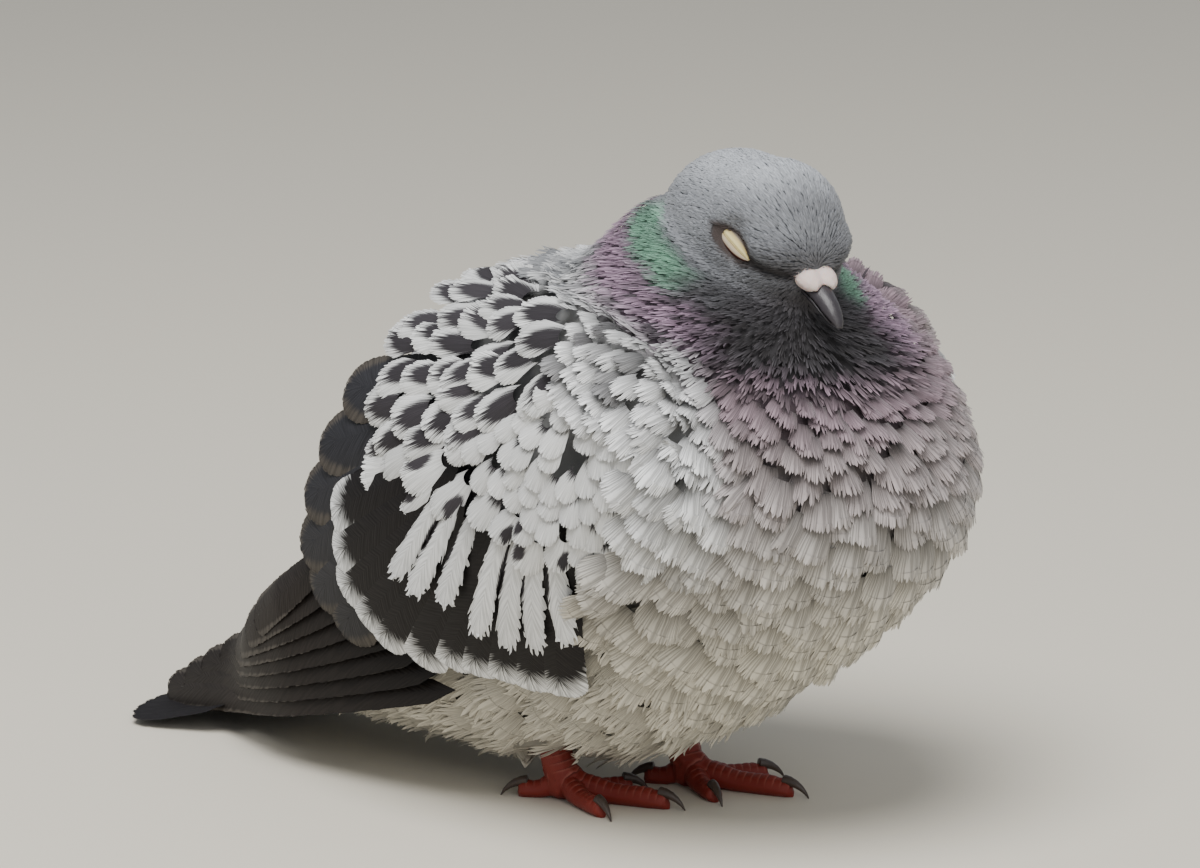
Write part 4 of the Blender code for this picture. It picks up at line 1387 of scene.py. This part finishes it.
CLAW_SEAT = 2.0 * MM  # how far a claw is set back into its toe
BILL_NOD = math.radians(7)
BILL_DROP = np.array((0, -2.0, -1.8))  # on the head, as the cere's shift
CERE_GROWTH = np.array((1.1, 1.25, 1.15))
CERE_SHIFT = np.array((0, -1.2, 0.2))
# The dark colours at the upper rim are painted shadow under the brow; the red-brown lower rim is the lids'
# own.
LID_COLOURS = (  # (place across the lids, colour), up from the lower rim over the slit to the upper rim
    (0.0, "#1a0c0a"), (0.16, "#3a130e"), (0.26, "#4a1c14"), (0.33, "#c9b9a4"), (0.45, "#d8ccb6"),
    (0.545, "#c8b487"), (0.57, "#4a3420"), (0.595, "#d9c98c"), (0.75, "#e4d69e"), (0.88, "#b8a36a"),
    (0.95, "#3a2c1c"),
)
LID_GROWTH = 1.08  # so that their rim lies under the plumes
LID_BULGE = 1.5
LID_SINK = 0.7
RIM_SINK = 2.2
SLIT_PLACE = 0.15
SLIT_WIDTH = 0.07
SLIT_DEPTH = 0.22


def lid_finish():
    """Bare skin of closed lids: satin, with wrinkles 0.7 mm apart, a dark slit, a red-brown lower rim, and a
    dark upper rim of painted shadow under the brow.
    """
    n = Nodes("bare_eyelid_skin")
    wobble = n.noise(1.4, 2.0)
    across = n.math("MULTIPLY_ADD", wobble, 0.12, n.attribute("across_lids"))
    colours = n.add("ShaderNodeValToRGB", {"Fac": n.ramp(across, low=-1.0)})
    elements = colours.color_ramp.elements
    while len(elements) < len(LID_COLOURS):
        elements.new(0.5)
    for element, (position, code) in zip(elements, LID_COLOURS):
        element.position = position
        element.color = rgba(code)
    return n.finish(Base_Color=colours, Roughness=0.4, Normal=n.bump(wobble, 0.3, 0.1))


def build_lids(side, finish):
    """A closed almond of two lids that meet in a slit."""
    place, along, up, out = lid_axes(side)
    columns, rows = 48, 28
    p, q = np.meshgrid(np.linspace(-1, 1, columns + 1), np.linspace(-1, 1, rows + 1), indexing="ij")
    narrow = np.clip(1 - np.abs(p) ** 2.2, 0, 1) ** 0.75
    slit = np.exp(-(((q - SLIT_PLACE) / SLIT_WIDTH) ** 2))
    bulge = narrow * (LID_BULGE * np.clip(1 - q**2, 0, 1) ** 0.6 - SLIT_DEPTH * slit) - LID_SINK
    rim = (np.abs(q) > 0.99) | (np.abs(p) > 0.99)
    bulge = np.where(rim, -RIM_SINK, bulge)
    spots = place + (p * LID_HALF_LENGTH * LID_GROWTH)[..., None] * along
    spots = spots + (q * narrow * LID_HALF_WIDTH * LID_GROWTH)[..., None] * up + bulge[..., None] * out
    triangles = grid_triangles(columns, rows)
    if side == "left":
        triangles = triangles[:, ::-1]
    mesh = triangle_mesh(f"eyelids_{side}", from_head(spots.reshape(-1, 3)), triangles)
    set_points(mesh, "across_lids", "FLOAT", q.ravel())
    dress(link(f"eyelids_{side}", mesh), finish, "eyelid", f"eye_{side}")


def horn_finish(name, dark, light, roughness):
    """Horn of bill and claws: hard keratin with a polished gloss and faint growth lines 2 mm apart."""
    n = Nodes(name)
    lines = n.noise(0.5, 3.0, 0.6)
    colour = n.mix(n.ramp(lines, 0.35, 0.75), rgba(dark), rgba(light))
    return n.finish(Base_Color=colour, Roughness=roughness, IOR=1.54, Normal=n.bump(lines, 0.25, 0.15))


def cere_finish():
    """Cere: soft, powdery skin, white with some pink, with wrinkles about 1.7 mm apart."""
    n = Nodes("powdery_cere_skin")
    lumps = n.noise(0.6, 4.0, 0.65)
    colour = n.mix(n.ramp(lumps, 0.35, 0.6), rgba("#c9a9a2"), rgba("#f3e6e0"))
    return n.finish(Base_Color=colour, Roughness=0.6, Normal=n.bump(lumps, 0.5, 0.3),
                    Subsurface_Weight=0.2, Subsurface_Scale=MM)


def smooth_copy(node, finish, slot, voxel=0.3 * MM, smoothing=6):
    """A smooth piece in the shape of one node."""
    piece = closed_shell(f"{node}_smooth", (node,), voxel, smoothing)
    dress(piece, finish, slot, node)
    return piece


def nodded(points):
    """The bill's places, turned down and set back into the face."""
    pivot = in_head(BILL_BASE)
    away = in_head(points) - pivot
    cosine, sine = math.cos(BILL_NOD), math.sin(BILL_NOD)
    ahead = away[:, 1] * cosine + away[:, 2] * sine
    above = away[:, 2] * cosine - away[:, 1] * sine
    return from_head(pivot + BILL_DROP + np.stack([away[:, 0], ahead, above], 1))


def build_face():
    lids = lid_finish()
    for side in SIDES:
        build_lids(side, lids)
    horn = horn_finish("bill_horn", "#1f1c1f", "#4a464b", 0.28)
    pieces = [smooth_copy("bill_upper", horn, "bill"), smooth_copy("bill_lower", horn, "bill")]
    cere = smooth_copy("cere", cere_finish(), "cere")
    for piece in (*pieces, cere):
        move_vertices(piece, nodded(vertices_of(piece)))
    spots = in_head(vertices_of(cere))
    move_vertices(cere, from_head((spots - spots.mean(0)) * CERE_GROWTH + spots.mean(0) + CERE_SHIFT))


def build_claws():
    finish = horn_finish("claw_horn", "#2a211e", "#5a4a40", 0.35)
    for side in SIDES:
        for toe in TOES:
            claw = smooth_copy(f"claw_{side}_{toe}", finish, "claw", voxel=0.25 * MM, smoothing=3)
            ahead = toe_way(FEET[side][2][toe][0]) + (0, 0, 0.15)
            move_vertices(claw, vertices_of(claw) - ahead * CLAW_SEAT)


# ---- floor, light and camera ---------------------------------------------------------------------

VIEW_AZIMUTH = math.radians(-52)
VIEW_ELEVATION = math.radians(12)
VIEW_DISTANCE = 1.3
VIEW_TARGET = Vector((0, -19.6, 86.8)) * MM
FRAME_WIDTH = 286 * MM  # of the view, at the target
SENSOR_WIDTH = 36.0  # in mm, as cameras state it


def view_vector(azimuth, elevation):
    """From the object towards a camera. Azimuth 0 looks along +Y."""
    level = math.cos(elevation)
    return Vector((math.sin(azimuth) * level, -math.cos(azimuth) * level, math.sin(elevation)))


def aim(obj, place, target):
    obj.location = place
    obj.rotation_euler = (target - place).to_track_quat("-Z", "Y").to_euler()


def build_camera():
    data = bpy.data.cameras.new("camera")
    data.sensor_width = SENSOR_WIDTH
    data.lens = SENSOR_WIDTH * VIEW_DISTANCE / FRAME_WIDTH
    data.clip_end = 50
    camera = link("camera", data)
    aim(camera, VIEW_TARGET + view_vector(VIEW_AZIMUTH, VIEW_ELEVATION) * VIEW_DISTANCE, VIEW_TARGET)
    bpy.context.scene.camera = camera


LAMPS = (  # (name, azimuth and elevation in degrees, distance, size, power in watts, colour)
    ("overhead", -70, 66, 1.6, 1.1, 36, (1.0, 0.99, 0.97)),
    ("front_fill", -30, 28, 1.8, 1.0, 6, (1.0, 0.98, 0.95)),
)


def build_lamps():
    """Broad, soft lamps that shine on the bird."""
    for name, azimuth, elevation, distance, size, power, colour in LAMPS:
        data = bpy.data.lights.new(name, "AREA")
        data.shape = "DISK"
        data.size = size
        data.energy = power
        data.color = colour
        away = view_vector(math.radians(azimuth), math.radians(elevation)) * distance
        aim(link(name, data), VIEW_TARGET + away, VIEW_TARGET)


def build_studio():
    """A pale floor without an edge in view, and a soft sky."""
    mesh = bpy.data.meshes.new("floor")
    bm = bmesh.new()
    bmesh.ops.create_grid(bm, x_segments=1, y_segments=1, size=6)
    bm.to_mesh(mesh)
    bm.free()
    floor = link("floor", mesh)
    mesh.materials.append(Nodes("pale_studio_floor").finish(Base_Color=rgba("#d8d2c4"), Roughness=0.85))
    world = bpy.data.worlds.new("studio")
    world.use_nodes = True
    sky = world.node_tree.nodes["Background"]
    sky.inputs["Color"].default_value = rgba("#e9edf2")
    sky.inputs["Strength"].default_value = 0.5
    bpy.context.scene.world = world
    build_lamps()


# ---- all of it -----------------------------------------------------------------------------------

def guide_surface(smoothing, depths):
    """The surface of body and wings together, for feathers to follow."""
    piece = head_and_body("guide", FLESH + EYES + WING_PLATES, smoothing, depths)
    surface = Surface(piece)
    bpy.data.objects.remove(piece)
    return surface


SKIN_PAINTED_SHADE = 0.4  # painted shade: the skin between the plumes is drawn at this share of their colour, so that the gaps look shadowed
HEAD_LIGHTER = 0.5  # how much lighter that is on the head, with less painted shade, where the plumes hide less


def main():
    build_camera()
    build_studio()
    skin_piece, body_bed = build_skin()
    skin = Skin(skin_piece)
    # The skin takes the plumage's colours, darkened as painted shade in the gaps between the plumes, and red
    # on the feet.
    shade = SKIN_PAINTED_SHADE + HEAD_LIGHTER * (1 - band(from_head_mm(skin.points), "skin_shade"))
    plates = scutes(skin.points)
    colours = mix(markings_and_painted_light(skin.points) * shade[:, None], FOOT_RED, plates[:, 2])
    set_points(skin_piece.data, "tint", "FLOAT_COLOR", colours)
    set_points(skin_piece.data, "scute", "FLOAT_VECTOR", plates[:, :3])
    dress(skin_piece, skin_finish(), "foot_skin", *FLESH, *LEGS)

    owners = Nearby(FLESH + EYES + WING_PLATES)
    build_plumes(guide_surface(8, bed_depth), body_bed, skin, owners)
    build_wings(guide_surface(20, lambda points: np.full(len(points), WING_COAT)), skin, owners)
    build_tail(skin)
    build_face()
    build_claws()


main()
